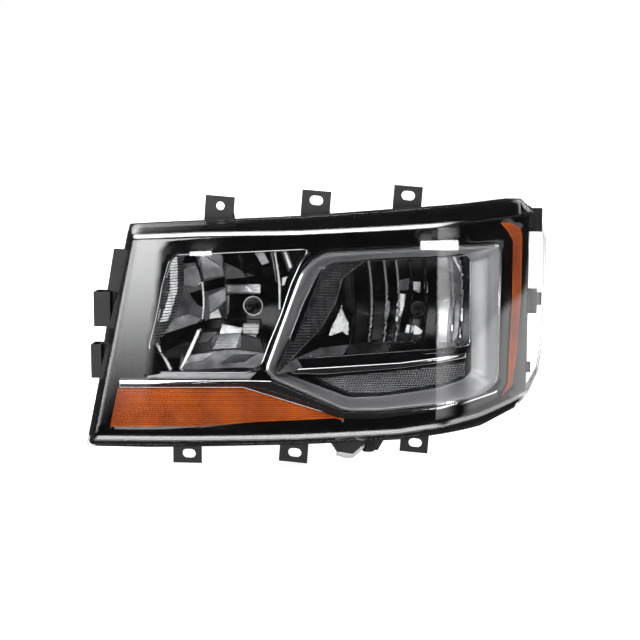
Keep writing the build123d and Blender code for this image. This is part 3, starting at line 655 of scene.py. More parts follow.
# depth behind the face, step in from the edge
CREASE_ROLL = [
    (6, 0), (4.4, 0.1), (3.5, 0.7), (2.9, 1.5), (1.1, 4.9), (0.4, 6.4), (0.08, 8.2), (0, 10.5),
]
# step from the inboard end, sink behind the face
END_ROLL = [(0, 3.4), (0.35, 1.9), (1.1, 0.9), (2.4, 0.35), (4.6, 0.08), (6.5, 0)]
CORNER_COLUMNS = (266, 270, 273, 276, 279.5, 283, 286.5, 290, 293, 296, 298.4, 300.2, 301.4, 302)
FACE_COLUMNS = 84
FACE_START = 12.0
END_LEAN_REACH = 150.0
LENS_THICKNESS = 2.4
SKIRT_DEPTHS = [50, 40, 30, 20, 12]
BEVEL = len(SKIRT_DEPTHS) + 3
END_BEVEL = 1
FACE_ROWS = 22


def lens_columns():
    """(x, step from the inboard end, sink behind the face) of each column, from inboard to outboard."""
    start = left_x(0.0, 0.0)
    columns = [(start + step, step, sink) for step, sink in END_ROLL]
    face = np.linspace(start + FACE_START, CORNER_X, FACE_COLUMNS)
    columns += [(float(x), float(x) - start, 0.0) for x in face]
    columns += [(x, x - start, 0.0) for x in CORNER_COLUMNS]
    return columns


def lens_point(column, depth, z, inset=0.0):
    """Point on the lens shell; columns near the inboard end lean with its end wall."""
    x, step, sink = column
    back = depth + sink
    lean = max(0.0, 1.0 - step / END_LEAN_REACH)
    edge = left_x(front_y(x) + back, z, inset) + step
    x = x * (1 - lean) + edge * lean
    return (x, front_y(x) + back, z)


def lens_section(column):
    """One column's line from the bottom rim, over the face, to the top rim."""
    x = column[0]
    share = min(1.0, rim_depth(x) / RIM_DEPTH)
    low, high = [], []
    rows = [(rim_depth(x) * depth / RIM_DEPTH, 0.0) for depth in SKIRT_DEPTHS]
    rows += [(depth * share, step) for depth, step in CREASE_ROLL]
    for depth, step in rows:
        low.append(lens_point(column, depth, bottom_z(x, depth, step, column[1])))
        high.append(lens_point(column, depth, top_z(x, depth, step, column[1])))
    base, crown = low[-1][2], high[-1][2]
    for row in range(1, FACE_ROWS):
        low.append(lens_point(column, 0.0, base + (crown - base) * row / FACE_ROWS))
    return low + high[::-1]


def outer_lens():
    form = Form()
    columns = lens_columns()
    sections = [lens_section(column) for column in columns]
    form.rings(sections, closed=False)
    strip = len(sections[0]) - 1
    for n in range(len(form.faces)):
        if n % strip in (BEVEL, strip - 1 - BEVEL) or n // strip == END_BEVEL:
            form.tints[n] = 1
    first = sections[0]
    count = len(SKIRT_DEPTHS)
    line = first[count:-count]
    share = [(p[2] - line[0][2]) / (line[-1][2] - line[0][2]) for p in line]
    wall = [line]
    for k in range(count - 1, -1, -1):
        low, high = Vector(first[k]), Vector(first[-1 - k])
        wall.append([low.lerp(high, s) for s in share])
    form.rings(wall, closed=False)
    tail = [s for s, column in zip(sections, columns) if column[0] >= END_X]
    form.rings([[Vector(s[0]).lerp(Vector(s[-1]), t / 12) for t in range(13)] for s in tail], closed=False)
    form.make("lens_shell", "lamp", [CLEAR, CLEAR_EDGE], ["outer_lens"], sharp=60.0,
              thickness=LENS_THICKNESS)


# ---- black bezel ----

SIDE_STEPS = 40
LOOP_STEPS = 70


def shell_loop(inset, depth, end_x):
    """Closed loop round the inside of the lens at one depth."""
    start = left_x(face_y(-270) + depth, 0.0, inset)
    xs = [start + step for step in (0.0, 1.5, 4.0, 7.5)]
    run = end_x - start - FACE_START
    xs += [start + FACE_START + run * k / LOOP_STEPS for k in range(LOOP_STEPS + 1)]
    low, high = [], []
    for x in xs:
        column = (x, x - start, 0.0)
        low.append(lens_point(column, depth, bottom_z(x, depth, inset, x - start), inset))
        high.append(lens_point(column, depth, top_z(x, depth, inset, x - start), inset))
    shares = [t / SIDE_STEPS for t in range(1, SIDE_STEPS)]
    right = [Vector(low[-1]).lerp(Vector(high[-1]), share) for share in shares]
    left = [Vector(high[0]).lerp(Vector(low[0]), share) for share in shares]
    left = [lens_point((start, 0.0, 0.0), depth, p.z, inset) for p in left]
    return low + [tuple(p) for p in right] + high[::-1] + left


HIGH_OPENING = [
    (-211, -59), (-211, -25), (-202, 8), (-193, 54), (-184, 84), (-176, 91.5), (-30, 98),
    (-8, 99), (-18, 82), (-30.5, 54), (-43, 15), (-59, -24), (-67, -47), (-76, -57), (-89, -59),
]
FRAME_OUTER = [
    (-60, -50), (-29, 36), (-17, 68), (-6, 84), (15, 96.5), (85, 99.5), (161, 103.8),
    (236, 102), (240.8, 93), (238.6, -84), (215, -98.4), (163, -105), (86, -111.7),
    (41, -111.3), (-51.7, -68.8), (-60.5, -59),
]
FRAME_INNER = [
    (-44, -48), (-16, 27), (-3, 53), (8, 73), (25, 80.7), (83, 84.8), (145, 87.2),
    (191, 89.3), (200, 81), (202.5, -69), (194, -78), (162, -88), (84, -98),
    (43.5, -99), (-39.8, -66), (-44.5, -58),
]
AMBER_OUTLINE = [
    (-265, -133), (-147, -131.5), (-73, -125.5), (27, -121.5), (40, -123.3),
    (-18, -104.5), (-62.8, -90), (-91, -81), (-254, -82),
]
WAIST_STRIP = [
    (-252, -80.5), (-251.5, -70), (-88, -69.8), (-72, -70), (-54, -70.5), (41, -113),
    (86, -113.6), (163, -107), (238, -93), (238, -98), (163, -113.4), (85.7, -122.8),
    (42, -122.3), (-18, -103.3), (-62.8, -88.8), (-91, -79.8),
]
DAY_LENS = [
    (-4, -71), (12, -71), (112, -63), (196, -54.5), (196, -75.4), (162, -85),
    (83.6, -95.7), (47, -95.2), (18, -83),
]
DAY_STRIP = [(-38, -60), (112, -52), (196, -42), (196, -49), (112, -60), (12, -67), (-28, -66)]
SIDE_MARKER = [
    (238, 129), (250, 128), (265, 119), (268, 108), (268, 21), (264, -46), (258, -93),
    (243, -105), (252, -88), (253, -44), (255.7, 23), (255.5, 103), (248, 117),
]
LOW_OPENING = [(-36, -47), (10, 72), (26, 79.5), (199, 86), (200, -33), (83, -39.5)]


BEZEL_DEPTH = 24.0
BEZEL_INSET = 4.6
BEZEL_END_X = 277.0
BEZEL_WALL = (26.0, 32.0, 40.0, 48.5)
BEZEL_THICKNESS = 1.6
LINER_INSET = 2.8
LINER_END_X = 268.0
LINER_DEPTHS = (3.6, 10.0, 20.0, 30.0, 40.0, 49.0)
LINER_THICKNESS = 0.7


def bezel():
    """Gloss black plate behind the lens, with its openings and its outer wall."""
    form = Form()
    loops = [shell_loop(BEZEL_INSET, depth, BEZEL_END_X) for depth in (BEZEL_DEPTH, *BEZEL_WALL)]
    flat = [Vector((p[0], p[2])) for p in loops[0]]
    holes = [outline(HIGH_OPENING, 6.0), shift(outline(FRAME_OUTER, 8.0), 0.3),
             shift(outline(AMBER_OUTLINE, 1.5), -1.0), shift(outline(SIDE_MARKER, 1.5), -1.0)]
    grown = [shift(hole, 1.2) for hole in holes]
    form.cap([flat] + grown, 7.0, lambda x, z: front_y(x) + BEZEL_DEPTH)
    form.rings(loops)
    for hole in holes:
        form.rings(profile(hole, [(1.2, BEZEL_DEPTH), (0.35, BEZEL_DEPTH + 0.35),
                                  (0.0, BEZEL_DEPTH + 1.2), (0.0, BEZEL_DEPTH + 5.0)]))
    form.make("bezel_moulding", "lamp", [GLOSS_BLACK], ["bezel"], thickness=BEZEL_THICKNESS)


def skirt_liner():
    """Black band just inside the clear side walls of the lens, open at the outboard end."""
    form = Form()
    loops = [shell_loop(LINER_INSET, depth, LINER_END_X) for depth in LINER_DEPTHS]
    side = SIDE_STEPS - 1
    count = (len(loops[0]) - 2 * side) // 2
    turned = []
    for loop in loops:
        low, high, left = loop[:count], loop[count + side:2 * count + side], loop[2 * count + side:]
        turned.append(high + left + low)
    form.rings(turned, closed=False)
    form.make("skirt_liner", "lamp", [GLOSS_BLACK], thickness=LINER_THICKNESS)


def surround():
    """Black collar of the high-beam opening with a thin chrome bead round it."""
    form = Form()
    loop = outline(HIGH_OPENING, 6.0, 3.0)
    form.rings(profile(loop, [(3.4, 23.9), (3.0, 22.6), (2.0, 22.0), (0.6, 22.6), (0.0, 24.0),
                              (-0.8, 34.0)]))
    form.make("surround_collar", "lamp", [GLOSS_BLACK], ["high_beam_surround"],
              thickness=1.2)
    bead = Form()
    tube_along(bead, swept(shift(loop, 1.0), 22.2), 0.75)
    bead.make("surround_bead", "lamp", [CHROME])


# height and depth of the ledge's section, from the bowl down
SILL_SECTION = [
    (-59.5, 27), (-60.4, 22.5), (-61.5, 21), (-66.5, 20), (-68.5, 20.4), (-69.6, 23),
]


def sill():
    """Satin ledge between the high-beam bowl and the waist strip."""
    form = Form()
    rows = []
    for z, depth in SILL_SECTION:
        start, end = -214.0 + 0.2 * (z + 60), -74.0 + 0.9 * (z + 60)
        xs = np.linspace(start, end, 40)
        rows.append([(x, face_y(x) + depth, z) for x in xs])
    form.rings(rows, closed=False)
    form.make("waist_sill", "lamp", [SATIN], thickness=1.0)


def chrome_strip(name, part, points, corner, front, back, edge):
    """Rounded chrome strip that follows the lamp's sweep."""
    form = Form()
    slab(form, outline(points, corner, 3.0), [], front, back, edge, turns=5)
    form.make(name, "lamp", [CHROME], [part], sharp=12.0)


def low_beam_frame():
    """C-shaped satin frame: narrow lip, then a funnel wall down to the low-beam shroud."""
    form = Form()
    outer, inner = dense_together([rounded(FRAME_OUTER, 9.0), rounded(FRAME_INNER, 7.0)], 3.0)
    if signed_area(outer) < 0:
        outer, inner = outer[::-1], inner[::-1]
    rings = profile(outer, [(0.0, 30.0), (0.0, 14.5), (-0.5, 13.0), (-1.6, 12.2), (-3.4, 12.0)])
    lip, throat = shift(outer, -4.2), shift(inner, 1.6)
    for step in range(13):
        t = step / 12
        line = [a.lerp(b, t) for a, b in zip(lip, throat)]
        rings.append(swept(line, 12.6 + 30.0 * (0.35 * t + 0.65 * t**1.6)))
    rings += profile(inner, [(0.5, 43.8), (0.0, 45.2), (-0.2, 50.0)])
    form.rings(rings)
    form.make("frame_funnel", "lamp", [SATIN], ["low_beam_frame"], sharp=50.0,
              thickness=1.4)
    beads = Form()
    fine = dense_together([outer], 0.9)[0]
    tube_along(beads, swept(shift(fine, -0.9), 12.5), lambda i: 0.5 + 0.2 * (i % 2), sides=6)
    tube_along(beads, swept(shift(fine, -2.5), 12.0), lambda i: 0.4 + 0.16 * (i % 2), sides=6)
    fine = dense_together([inner], 1.2)[0]
    tube_along(beads, swept(shift(fine, 0.2), 45.2), lambda i: 0.3 + 0.12 * (i % 2), sides=6)
    beads.make("frame_piping", "lamp", [CHROME])


def low_beam_shroud():
    """Black plate inside the frame, with openings for the bowl and the daytime lens."""
    form = Form()
    plate = shift(outline(FRAME_INNER, 7.0), 2.5)
    window_low, window_day = outline(LOW_OPENING, 5.0), shift(outline(DAY_LENS, 3.0), 0.6)
    slab(form, plate, [window_low, window_day], 46.0, 49.5, 0.8)
    form.make("shroud_plate", "lamp", [GLOSS_BLACK], ["low_beam_shroud"])
    beads = Form()
    tube_along(beads, swept(shift(window_low, 0.6), 46.2), 0.3)
    beads.make("shroud_piping", "lamp", [CHROME])


# ---- textured lenses ----

def pillow(x, z, pitch, lean=0.0):
    """Height of one little optic pillow in rows that lean, 0 at the seams and 1 in the middle."""
    u = (x + lean * z) / pitch
    v = z / (pitch * 0.87)
    u += 0.5 * (math.floor(v) % 2)
    a, b = u - math.floor(u) - 0.5, v - math.floor(v) - 0.5
    return max(0.0, 1.0 - 3.2 * (a * a + b * b))


# piece, node, outline, front, back, pillow pitch, pillow height, lean of the rows, finishes of the lens
# and of its painted seams
OPTIC_LENSES = [
    ("amber_turn_lens", "turn_lens", AMBER_OUTLINE, 20.0, 24.0, 3.1, 1.1, 0.35, [AMBER, AMBER_SEAM_SHADE]),
    ("side_marker_optic", "side_marker_lens", SIDE_MARKER, 21.0, 24.0, 2.6, 0.9, 0.2, [AMBER, AMBER_SEAM_SHADE]),
    ("day_optic", "day_lens", DAY_LENS, 49.0, 52.0, 3.4, 1.0, 0.3, [GREY_OPTIC, GREY_SEAM_HIGHLIGHT]),
]
SEAM_LEVEL = 0.36


def optic_lens(name, part, points, front, back, pitch, height, lean, finishes):
    """Lens with a smooth rim and a face of small pillows; the seams are painted darker as shade on amber
    and lighter as highlight on grey.
    """
    form = Form()
    loop = outline(points, 2.0, 1.6)
    spacing = pitch / 4.0
    rim = shift(loop, -1.6)
    # Faces low in the seams between pillows take the second finish: painted shade on the amber lenses,
    # painted highlight on the grey one.
    form.cap([rim], spacing, lambda x, z: front_y(x) + front + 0.6 - height * pillow(x, z, pitch, lean),
             lambda x, z: int(pillow(x, z, pitch, lean) < SEAM_LEVEL))
    form.rings(profile(loop, [(-1.6, front + 0.6), (-1.3, front - 0.1), (-0.5, front),
                              (0.0, front + 0.6), (0.0, back)]))
    form.cap([loop], 12.0, lambda x, z: front_y(x) + back)
    form.make(name, "lamp", finishes, [part], sharp=80.0)


# ---- reflectors ----

def bowl(axis, focal, vertex_y):
    x0, z0 = axis
    return lambda x, z: vertex_y - ((x - x0) ** 2 + (z - z0) ** 2) / (4 * focal)


def relief(form, left, right, z_low, z_high, step_x, step_z, surface, hole):
    """Grid of mirror facets; surface gives depths and painted reflection tones, and the bulb hole is left
    open.
    """
    count = int((right(z_high) - left(z_low)) / step_x)
    levels = np.arange(z_low, z_high + step_z / 2, step_z)
    xs = np.array([np.linspace(left(z), right(z), count + 1) for z in levels])
    zs = np.repeat(levels[:, None], count + 1, axis=1)
    ys = surface(xs, zs)[0]
    middle_x = (xs[:-1, :-1] + xs[1:, 1:]) / 2
    middle_z = (zs[:-1, :-1] + zs[1:, 1:]) / 2
    tints = surface(middle_x, middle_z)[1]
    hole_x, hole_z, radius = hole
    open_cells = np.hypot(middle_x - hole_x, middle_z - hole_z) < radius
    form.add(np.stack([xs, ys, zs], 2).reshape(-1, 3).tolist())
    for row in range(len(levels) - 1):
        for i in range(count):
            if not open_cells[row, i]:
                corner = row * (count + 1) + i
                form.faces.append((corner, corner + 1, corner + count + 2, corner + count + 1))
                form.tints.append(int(tints[row, i]))


# Tones of the reflector facets: lit and shaded greys of one chrome, painted in place of its reflections.
PAINTED_BRIGHT, PAINTED_MID, PAINTED_DARK, PAINTED_WHITE, PAINTED_SMOKE = range(5)
PAINTED_REFLECTION_TONES = [BRIGHT_REFLECTION_PAINT, MID_OPTIC, DARK_REFLECTION_PAINT, WHITE_HIGHLIGHT_PAINT, SMOKE_REFLECTION_PAINT]
HIGH_AXIS = (-88.2, 15.4)
LOW_AXIS = (129.6, 6.9)
HIGH_FOCAL = 52.0
LOW_FOCAL = 72.0
HIGH_VERTEX_Y = 115.0
LOW_VERTEX_Y = 162.0
BULB_HOLE_R = 12.4
MIRROR_THICKNESS = 1.6
HIGH_STEP = 1.25
LOW_STEP = 1.35
LOW_RIGHT_X = 205.0
ROW = 0.95

# outline, painted reflection tone, lift towards the front, slope across, slope up
HIGH_FACETS = [
    ([(-215, 102), (-166, 102), (-172.7, 78), (-175.8, 41), (-185.5, 7.5), (-203.5, -33),
      (-215, -33)], PAINTED_MID, 0, 0, 0),
    ([(-172.7, 78), (-158.8, 78), (-151, 48), (-151, 20), (-153.4, -3), (-201.5, -16.3),
      (-203.5, -33), (-185.5, 7.5), (-175.8, 41)], PAINTED_MID, 1.5, 0.10, -0.05),
    ([(-172, 70), (-158.8, 74), (-152, 50), (-160, 44), (-174, 48)], PAINTED_BRIGHT, 1.5, 0.10, -0.05),
    ([(-188, 4), (-170, 8), (-155, 0), (-160, -5), (-198, -14)], PAINTED_BRIGHT, 1.5, 0.10, -0.05),
    ([(-168, 36), (-152, 40), (-151, 14), (-160, 20)], PAINTED_DARK, 1.5, 0.25, -0.05),
    ([(-202, -17.5), (-156, -7), (-157, -18), (-176, -28), (-199, -36)], PAINTED_DARK, 3.5, 0, 0.3),
    ([(-214, -30), (-205, -25), (-186, -62), (-214, -62)], PAINTED_DARK, 6, 0.3, 0),
    ([(-205.6, -25), (-204, -24), (-184.6, -61), (-187, -62)], PAINTED_WHITE, 6.5, 0.3, 0),
    ([(-158.8, 102), (-123.6, 102), (-123.6, 55), (-151, 50)], PAINTED_MID, -1, -0.15, 0.10),
    ([(-154, 92), (-128, 70), (-123.6, 58), (-150, 54)], PAINTED_BRIGHT, -1, -0.15, 0.10),
    ([(-151, 50), (-123.6, 56), (-123.6, 42), (-150, 36)], PAINTED_DARK, -1, 0, 0),
    ([(-150, 36), (-123.6, 42), (-123.6, 22), (-146, -2), (-151, -3)], PAINTED_MID, -1, 0.12, 0.18),
    ([(-146, 30), (-123.6, 40), (-123.6, 24), (-144, 6)], PAINTED_BRIGHT, -1, 0.12, 0.18),
    ([(-144, 6), (-134, 12), (-130, 0), (-144, 0)], PAINTED_WHITE, -1, 0.4, 0.3),
    ([(-123.6, 102), (-70, 102), (-76, 46), (-123.6, 46)], PAINTED_DARK, 0.5, 0, -0.15),
    ([(-123.6, 76), (-98, 62), (-84, 57), (-100, 54), (-123.6, 52)], PAINTED_MID, 0.8, 0, 0.25),
    ([(-123.6, 45), (-77.6, 45), (-77.6, 32), (-123.6, 32)], PAINTED_MID, 1.2, 0, 0.35),
    ([(-121, 43), (-96, 43), (-90, 36), (-78, 35), (-78, 33), (-121, 35)], PAINTED_BRIGHT, 1.2, 0, 0.35),
    ([(-123.6, 30), (-101, 30), (-101, 3), (-123.6, 3)], PAINTED_DARK, -1.5, 0, 0),
    ([(-122.6, 29), (-119.6, 29), (-121, 4), (-123.4, 4)], PAINTED_BRIGHT, -1.5, 0, 0),
    ([(-153, -3), (-78, -2), (-78, -12), (-153, -13)], PAINTED_DARK, 5, 0, 0),
    ([(-101, -8), (-79, -8), (-80, -20), (-101, -20)], PAINTED_WHITE, 4, 0, 0.3),
    ([(-128, -8), (-101, -14), (-103, -20), (-131, -20)], PAINTED_WHITE, 3, 0.15, 0.3),
    ([(-131, -20), (-103, -20), (-107, -39), (-139, -39)], PAINTED_BRIGHT, 3, 0.15, 0.1),
    ([(-99, -21), (-82, -21), (-86, -33)], PAINTED_BRIGHT, 4, 0, 0.3),
    ([(-153, -13), (-131, -14), (-140, -42), (-168, -50)], PAINTED_SMOKE, 2, 0.1, 0.2),
    ([(-152, -18), (-134, -18), (-146, -30), (-158, -30)], PAINTED_MID, 2, 0.1, 0.2),
    ([(-200, -36), (-176, -28), (-160, -26), (-168, -46), (-192, -46)], PAINTED_SMOKE, 3, 0, 0.15),
    ([(-104, -20), (-78, -27), (-62, -60), (-110, -42)], PAINTED_DARK, 2, 0, 0.1),
    ([(-176, -44), (-120, -40), (-62, -46), (-62, -64), (-178, -64)], PAINTED_MID, 3, 0, 0.15),
    ([(-168, -44), (-136, -43), (-150, -52), (-170, -54)], PAINTED_BRIGHT, 3, 0, 0.15),
    ([(-112, -47), (-80, -46), (-96, -56), (-130, -58)], PAINTED_SMOKE, 3, 0, 0.15),
    ([(-82, 90), (-71, 92), (-64, 76), (-74, 72)], PAINTED_BRIGHT, 2, 0.3, 0.1),
    ([(-64, 92), (-61, 92), (-56, 49), (-54, 49), (-57, 92)], PAINTED_BRIGHT, 4, -0.3, 0),
    ([(-56, 92), (-53, 92), (-49, 49), (-50, 12), (-53, 12), (-53, 49)], PAINTED_WHITE, 4, -0.3, 0),
    ([(-46, 94), (-36, 94), (-30, 72), (-38, 64)], PAINTED_MID, 3, 0.3, 0),
    ([(-42, 94), (-39, 94), (-33, 72), (-36, 70)], PAINTED_WHITE, 3, 0.3, 0),
    ([(-47, 56), (-40, 58), (-44, 46), (-48, 44)], PAINTED_WHITE, 3, 0.3, 0),
    ([(-104, 96), (-101, 96), (-98, 66), (-92, 50), (-96, 52), (-103, 70)], PAINTED_SMOKE, 2, 0.3, 0),
    ([(-158, -12), (-153.5, -13), (-166, -44), (-175, -60), (-177, -60)], PAINTED_WHITE, 5, -0.4, 0),
]
LOW_FACETS = [
    ([(-4, 100), (66, 100), (63, 79), (31, 54), (22, 21), (3.4, -12), (-34, -49), (-54, -64)],
     PAINTED_SMOKE, 2, 0, 0),
    ([(14, -22), (28.5, 16), (34, 2), (38, -8), (37, -24), (30, -18), (22, -20)], PAINTED_WHITE, 1, 0.3, 0.3),
    ([(87, 22), (94, 18), (90, -2), (86, -6)], PAINTED_BRIGHT, 0, 0.3, 0.2),
    ([(104, 30), (114, 28), (112, 12), (103, -8), (101, -8)], PAINTED_WHITE, 0, 0.3, 0.2),
    ([(115, -14), (124, -16), (122, -24), (114, -24)], PAINTED_WHITE, 1.5, 0, 0.3),
    ([(125, -14), (136, -22), (134, -26), (125, -26)], PAINTED_WHITE, 1.5, 0.2, 0.3),
    ([(104, 48), (120, 52), (116, 34), (106, 34)], PAINTED_MID, 0, 0, 0.2),
    ([(122, 46), (134, 46), (132, 30), (124, 34)], PAINTED_BRIGHT, 0, 0, 0.2),
    ([(137, 46), (144, 46), (143, 30), (139, 34)], PAINTED_MID, 0, 0, 0.2),
    ([(60, 82), (124, 84), (124, 79), (60, 76)], PAINTED_MID, 0, 0, 0.2),
    ([(-50, -64), (-34, -50), (2, -38), (40, -38), (20, -64)], PAINTED_MID, 2, 0, 0.1),
    ([(36, -50), (40, -38), (80, -34), (96, -36), (90, -50)], PAINTED_SMOKE, 2, 0, 0.1),
    ([(90, -28), (112, -24), (136, -30), (128, -38), (96, -40)], PAINTED_SMOKE, 1, 0, 0.1),
    ([(156, 90), (186, 90), (190, 20), (184, -44), (156, -44)], PAINTED_MID, 0, 0.1, 0),
    ([(157, 90), (170, 90), (174, 20), (170, -44), (157, -44)], PAINTED_BRIGHT, 0, 0.1, 0),
    ([(172, 92), (173.8, 92), (196, 48), (194.2, 48)], PAINTED_WHITE, 1, 0.1, 0),
    ([(180, -36), (181.8, -36), (194, -12), (192.2, -12)], PAINTED_BRIGHT, 1, 0.1, 0),
    ([(190, 90), (206, 90), (206, -50), (184, -50), (190, 20)], PAINTED_SMOKE, 0, 0.1, 0),
]


def facet_surface(axis, focal, vertex_y, facets, detail, painted_reflections):
    """Depth and painted reflection tone of a bowl that is cut into tilted facets."""
    def surface(x, z):
        base = bowl(axis, focal, vertex_y)(x, z)
        y, tint = base.copy(), np.full(x.shape, PAINTED_DARK)
        points = np.stack([x.ravel(), z.ravel()], 1)
        for corners, shade, lift, across, up in facets:
            ring = np.array(corners, float)
            mask = inside(points, ring).reshape(x.shape)
            middle = ring.mean(0)
            y[mask] = (base - lift + across * (x - middle[0]) + up * (z - middle[1]))[mask]
            tint[mask] = shade
        return detail(x, z, y), painted_reflections(x, z, tint)
    return surface


def high_rib_edge(z):
    return np.interp(z, [-33, 7.5, 41, 78], [-203.5, -185.5, -175.8, -172.7])


RIB_FOOT_Z = -33
SECOND_SEAM_X = -123.6


def high_first_seam(z):
    return -151.5 - 0.002 * (z - 30) ** 2


def high_fluted(x, z):
    return (z > -39) & (z < -20) & (x > -139) & (x < -103)


def high_block(x, z):
    return (z > -20) & (z < -8) & (x > -101) & (x < -79)


def high_detail(x, z, y):
    """Ribs on the inboard wall, seams between slices and fine flutes in the lower bowl."""
    ribbed = (z > RIB_FOOT_Z) & (x < high_rib_edge(z))
    y = y - 0.9 * np.abs(np.sin(np.pi * z / (4 * ROW))) * ribbed
    y = y - 1.8 * ((z > -4) & (np.abs(x - high_first_seam(z)) < 1.6))
    y = y - 1.8 * ((z > -4) & (np.abs(x - SECOND_SEAM_X) < 1.2))
    y = y - 0.5 * np.abs(np.sin((x - 0.8 * z) * 1.1)) * high_fluted(x, z)
    return y - 0.5 * np.abs(np.sin(z * 1.4)) * high_block(x, z)


def high_painted_reflections(x, z, tint):
    """Painted reflections: bright ladder of ribs, dark seams and the light and dark of the flutes."""
    tint = tint.copy()
    gap = high_rib_edge(z) - x
    row = np.floor(z / ROW)
    ribbed = (z > RIB_FOOT_Z) & (gap > 0)
    tint[ribbed & (gap > 6.5) & (gap < 15.0) & (z > 2)] = PAINTED_WHITE
    tint[ribbed & (row % 4 == 0)] = PAINTED_DARK
    on_first_seam = np.abs(x - high_first_seam(z)) < 0.9
    tint[(z > 0) & (z < 50) & on_first_seam] = PAINTED_WHITE
    tint[(z > 50) & (z < 96) & on_first_seam] = PAINTED_DARK
    tint[(z > -2) & (z < 52) & (np.abs(x - SECOND_SEAM_X) < 0.8)] = PAINTED_MID
    tint[high_fluted(x, z) & (np.floor((x - 0.8 * z) / 1.4) % 2 == 0)] = PAINTED_MID
    tint[high_block(x, z) & (row % 2 == 0)] = PAINTED_MID
    return tint


def low_rib_edge(z):
    return np.interp(z, [-49, -12, 21, 54, 79], [-34.0, 3.4, 22.0, 31.0, 63.0])


LOW_SEAMS = (44.0, 68.0, 88.0, 104.0, 122.0, 141.0, 178.0, 190.0)
DULL_SEAMS = (44.0, 122.0, 141.0)
SLICE_FOOT_Z = -36


def low_seam_bend(z):
    return 0.0011 * (z - 20) ** 2


def low_detail(x, z, y):
    """Ribbed inboard wall and the tall curved slices of the low-beam bowl."""
    ribbed = x < low_rib_edge(z)
    y = y - 0.8 * np.abs(np.sin(np.pi * (z + 0.12 * x) / (4 * ROW))) * ribbed
    sliced = ~ribbed & (z > SLICE_FOOT_Z)
    bend = low_seam_bend(z)
    for seam in LOW_SEAMS:
        gap = x - (seam - bend)
        y = y - 0.007 * (gap + 20.0) * np.abs(gap) * ((gap > -20.0) & (gap < 0.0) & sliced)
        y = y - 1.5 * ((np.abs(gap) < 0.8) & sliced)
    return y


def low_painted_reflections(x, z, tint):
    """Painted highlights: light lines of the ribs and of the seams between slices, with three of the seams
    painted dull.
    """
    tint = tint.copy()
    ribbed = x < low_rib_edge(z)
    line = np.floor((z + 0.12 * x) / ROW) % 4 == 0
    tint[ribbed & line & (x > low_rib_edge(z) - 26.0)] = PAINTED_MID
    tint[ribbed & (np.abs(x - low_rib_edge(z) + 1.2) < 0.8)] = PAINTED_MID
    bend = low_seam_bend(z)
    for seam in LOW_SEAMS:
        near = (np.abs(x - seam + bend) < 0.75) & (z > SLICE_FOOT_Z) & (z < 78) & ~ribbed
        tint[near] = PAINTED_SMOKE if seam in DULL_SEAMS else PAINTED_BRIGHT
    return tint


LUG_REACH = 15.0
CAPSULE_R = 5.9


def bulb_collar(beam, axis, y, material):
    """Turned ring round the bulb hole, with four lugs, in the finish it is given."""
    form = Form()
    lathe(form, axis, [(12.2, y + 6.0), (11.6, y + 0.6), (11.9, y - 0.8), (12.8, y - 1.3), (13.5, y - 0.6),
                       (13.9, y + 1.0), (14.6, y + 6.0), (12.2, y + 6.0)])
    for quarter in range(4):
        angle = math.radians(45 + 90 * quarter)
        centre = Vector((axis[0] + LUG_REACH * math.cos(angle), y + 1.2,
                         axis[1] + LUG_REACH * math.sin(angle)))
        out = Vector((math.cos(angle), 0, math.sin(angle)))
        side = Vector((-math.sin(angle), 0, math.cos(angle)))
        rings = []
        for depth, size in ((5.0, 1.0), (0.4, 1.0), (-0.6, 0.8), (-1.0, 0.4)):
            rings.append([centre + Vector((0, depth, 0)) + out * a * size + side * b * size
                          for a, b in ((-1.8, -1.1), (1.8, -1.1), (1.8, 1.1), (-1.8, 1.1))])
        form.rings(rings)
        form.faces.append(tuple(range(len(form.points) - 4, len(form.points))))
        form.tints.append(0)
    form.make(f"{beam}_collar", "reflectors", [material])


def bulb_well(beam, axis, y):
    """Black metal cup that the bulb stands in; its near-black also paints the shade deep in the bulb hole.
    """
    form = Form()
    lathe(form, axis, [(11.8, y + 1.0), (11.6, y + 5.0), (10.8, y + 6.4), (6.6, y + 6.6), (6.3, y + 3.0)])
    form.make(f"{beam}_bulb_well", "reflectors", [NOSE_BLACK], thickness=0.5)


def bulb_glass(beam, axis, y):
    """Halogen capsule with a black-painted nose."""
    form = Form()
    nose = [(0.02, y - 35.8), (2.4, y - 35.2), (4.4, y - 33.8), (5.6, y - 31.6),
            (CAPSULE_R, y - 29.0), (CAPSULE_R, y - 16.0)]
    lathe(form, axis, nose, 32, 1)
    lathe(form, axis, [(CAPSULE_R, y - 16.0), (5.95, y - 10.0), (CAPSULE_R, y + 3.6)], 32, 0)
    part = f"{beam}_bulb_glass"
    form.make(f"{beam}_capsule", "reflectors", [HARD_GLASS, NOSE_BLACK], [part], thickness=0.6)


HIGH_SIDES = (
    table([(-63, -214), (-25, -214), (8, -205), (54, -196), (84, -187), (102, -178)]),
    table([(-63, -60), (-47, -56), (-24, -52), (15, -38), (54, -25), (82, -13), (102, -4)]),
)
LOW_SIDES = (table([(-62, -50), (-58, -48), (75, 0), (88, 6)]), lambda z: LOW_RIGHT_X)


def mirror(beam, axis, sides, low_row, high_row, step, surface):
    """Faceted mirror between the slanting sides of its opening, left open round the bulb; its facets wear
    painted reflection tones.
    """
    form = Form()
    relief(form, *sides, low_row * ROW, high_row * ROW, step, ROW, surface, (*axis, BULB_HOLE_R))
    part = f"{beam}_beam_reflector"
    form.make(f"{beam}_mirror", "reflectors", PAINTED_REFLECTION_TONES, [part], sharp=30.0,
              thickness=MIRROR_THICKNESS)


# ---- back of the housing ----

# foot and crest of the ribs on the two steps of the back wall
HIGH_WALL_DEPTHS = (196.0, 204.0)
LOW_WALL_DEPTHS = (250.5, 256.0)
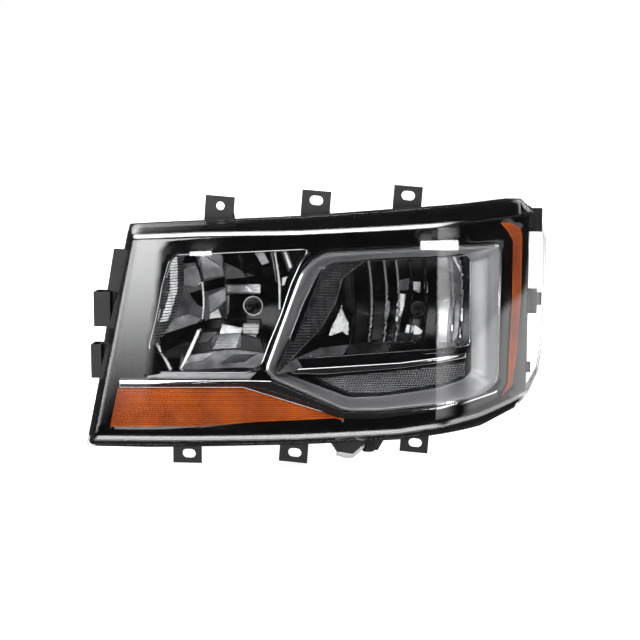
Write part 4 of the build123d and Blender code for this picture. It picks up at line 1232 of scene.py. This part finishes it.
# x from, x to, z from, z to
HIGH_WALL_RIBS = [
    (-151, -149, -72, 94), (-89, -87, 66, 94), (-89, -87, -72, -35), (21, 23, -30, 98),
    (-150, 22, 83, 85), (-150, -38, -61, -59), (-52, -50, 64, 84),
]
LOW_WALL_RIBS = [
    (69, 71, -54, 100), (159, 161, 53, 92), (159, 161, -54, -39), (189, 191, -54, 104),
    (251, 253, -54, 92), (70, 252, 91, 93), (70, 252, -53, -51), (190, 203, 15, 17),
]


def housing_ribs():
    """Moulded stiffening ribs with draft, standing on the two steps of the back wall."""
    form = Form()
    for ribs, (foot, crest) in ((HIGH_WALL_RIBS, HIGH_WALL_DEPTHS), (LOW_WALL_RIBS, LOW_WALL_DEPTHS)):
        for x0, x1, z0, z1 in ribs:
            rings = []
            for depth, draft in ((foot, 0.0), (crest - 0.6, 0.35), (crest, 0.6)):
                rings.append([(x0 + draft, depth, z0 + draft), (x1 - draft, depth, z0 + draft),
                              (x1 - draft, depth, z1 - draft), (x0 + draft, depth, z1 - draft)])
            lines = form.rings(rings)
            form.faces += [tuple(lines[0]), tuple(lines[-1])]
            form.tints += [0, 0]
    form.make("housing_ribs", "lamp", [MOULDED_BLACK], sharp=25.0)


# ---- build ----

make_camera()
make_world()
make_floor()
for light in STUDIO_LIGHTS:
    soft_light(*light)
bpy.context.scene.view_settings.view_transform = "Standard"
paint_nodes()
outer_lens()
bezel()
skirt_liner()
surround()
sill()
chrome_strip("waist_trim", "waist_strip", WAIST_STRIP, 1.6, 17.6, 24.0, 1.5)
low_beam_frame()
low_beam_shroud()
chrome_strip("day_trim", "day_strip", DAY_STRIP, 1.5, 40.5, 45.5, 1.4)
for lens in OPTIC_LENSES:
    optic_lens(*lens)
high_surface = facet_surface(HIGH_AXIS, HIGH_FOCAL, HIGH_VERTEX_Y, HIGH_FACETS, high_detail, high_painted_reflections)
low_surface = facet_surface(LOW_AXIS, LOW_FOCAL, LOW_VERTEX_Y, LOW_FACETS, low_detail, low_painted_reflections)
mirror("high", HIGH_AXIS, HIGH_SIDES, -66, 106, HIGH_STEP, high_surface)
mirror("low", LOW_AXIS, LOW_SIDES, -65, 92, LOW_STEP, low_surface)
housing_ribs()
# Collar finishes: nearly matt white as painted highlight on the high beam, dark reflector grey as painted
# dark reflection on the low beam.
for beam, axis, y, collar in (("high", HIGH_AXIS, HIGH_VERTEX_Y, RING_PAINTED_HIGHLIGHT),
                              ("low", LOW_AXIS, LOW_VERTEX_Y, DARK_REFLECTION_PAINT)):
    bulb_collar(beam, axis, y, collar)
    bulb_well(beam, axis, y)
    bulb_glass(beam, axis, y)
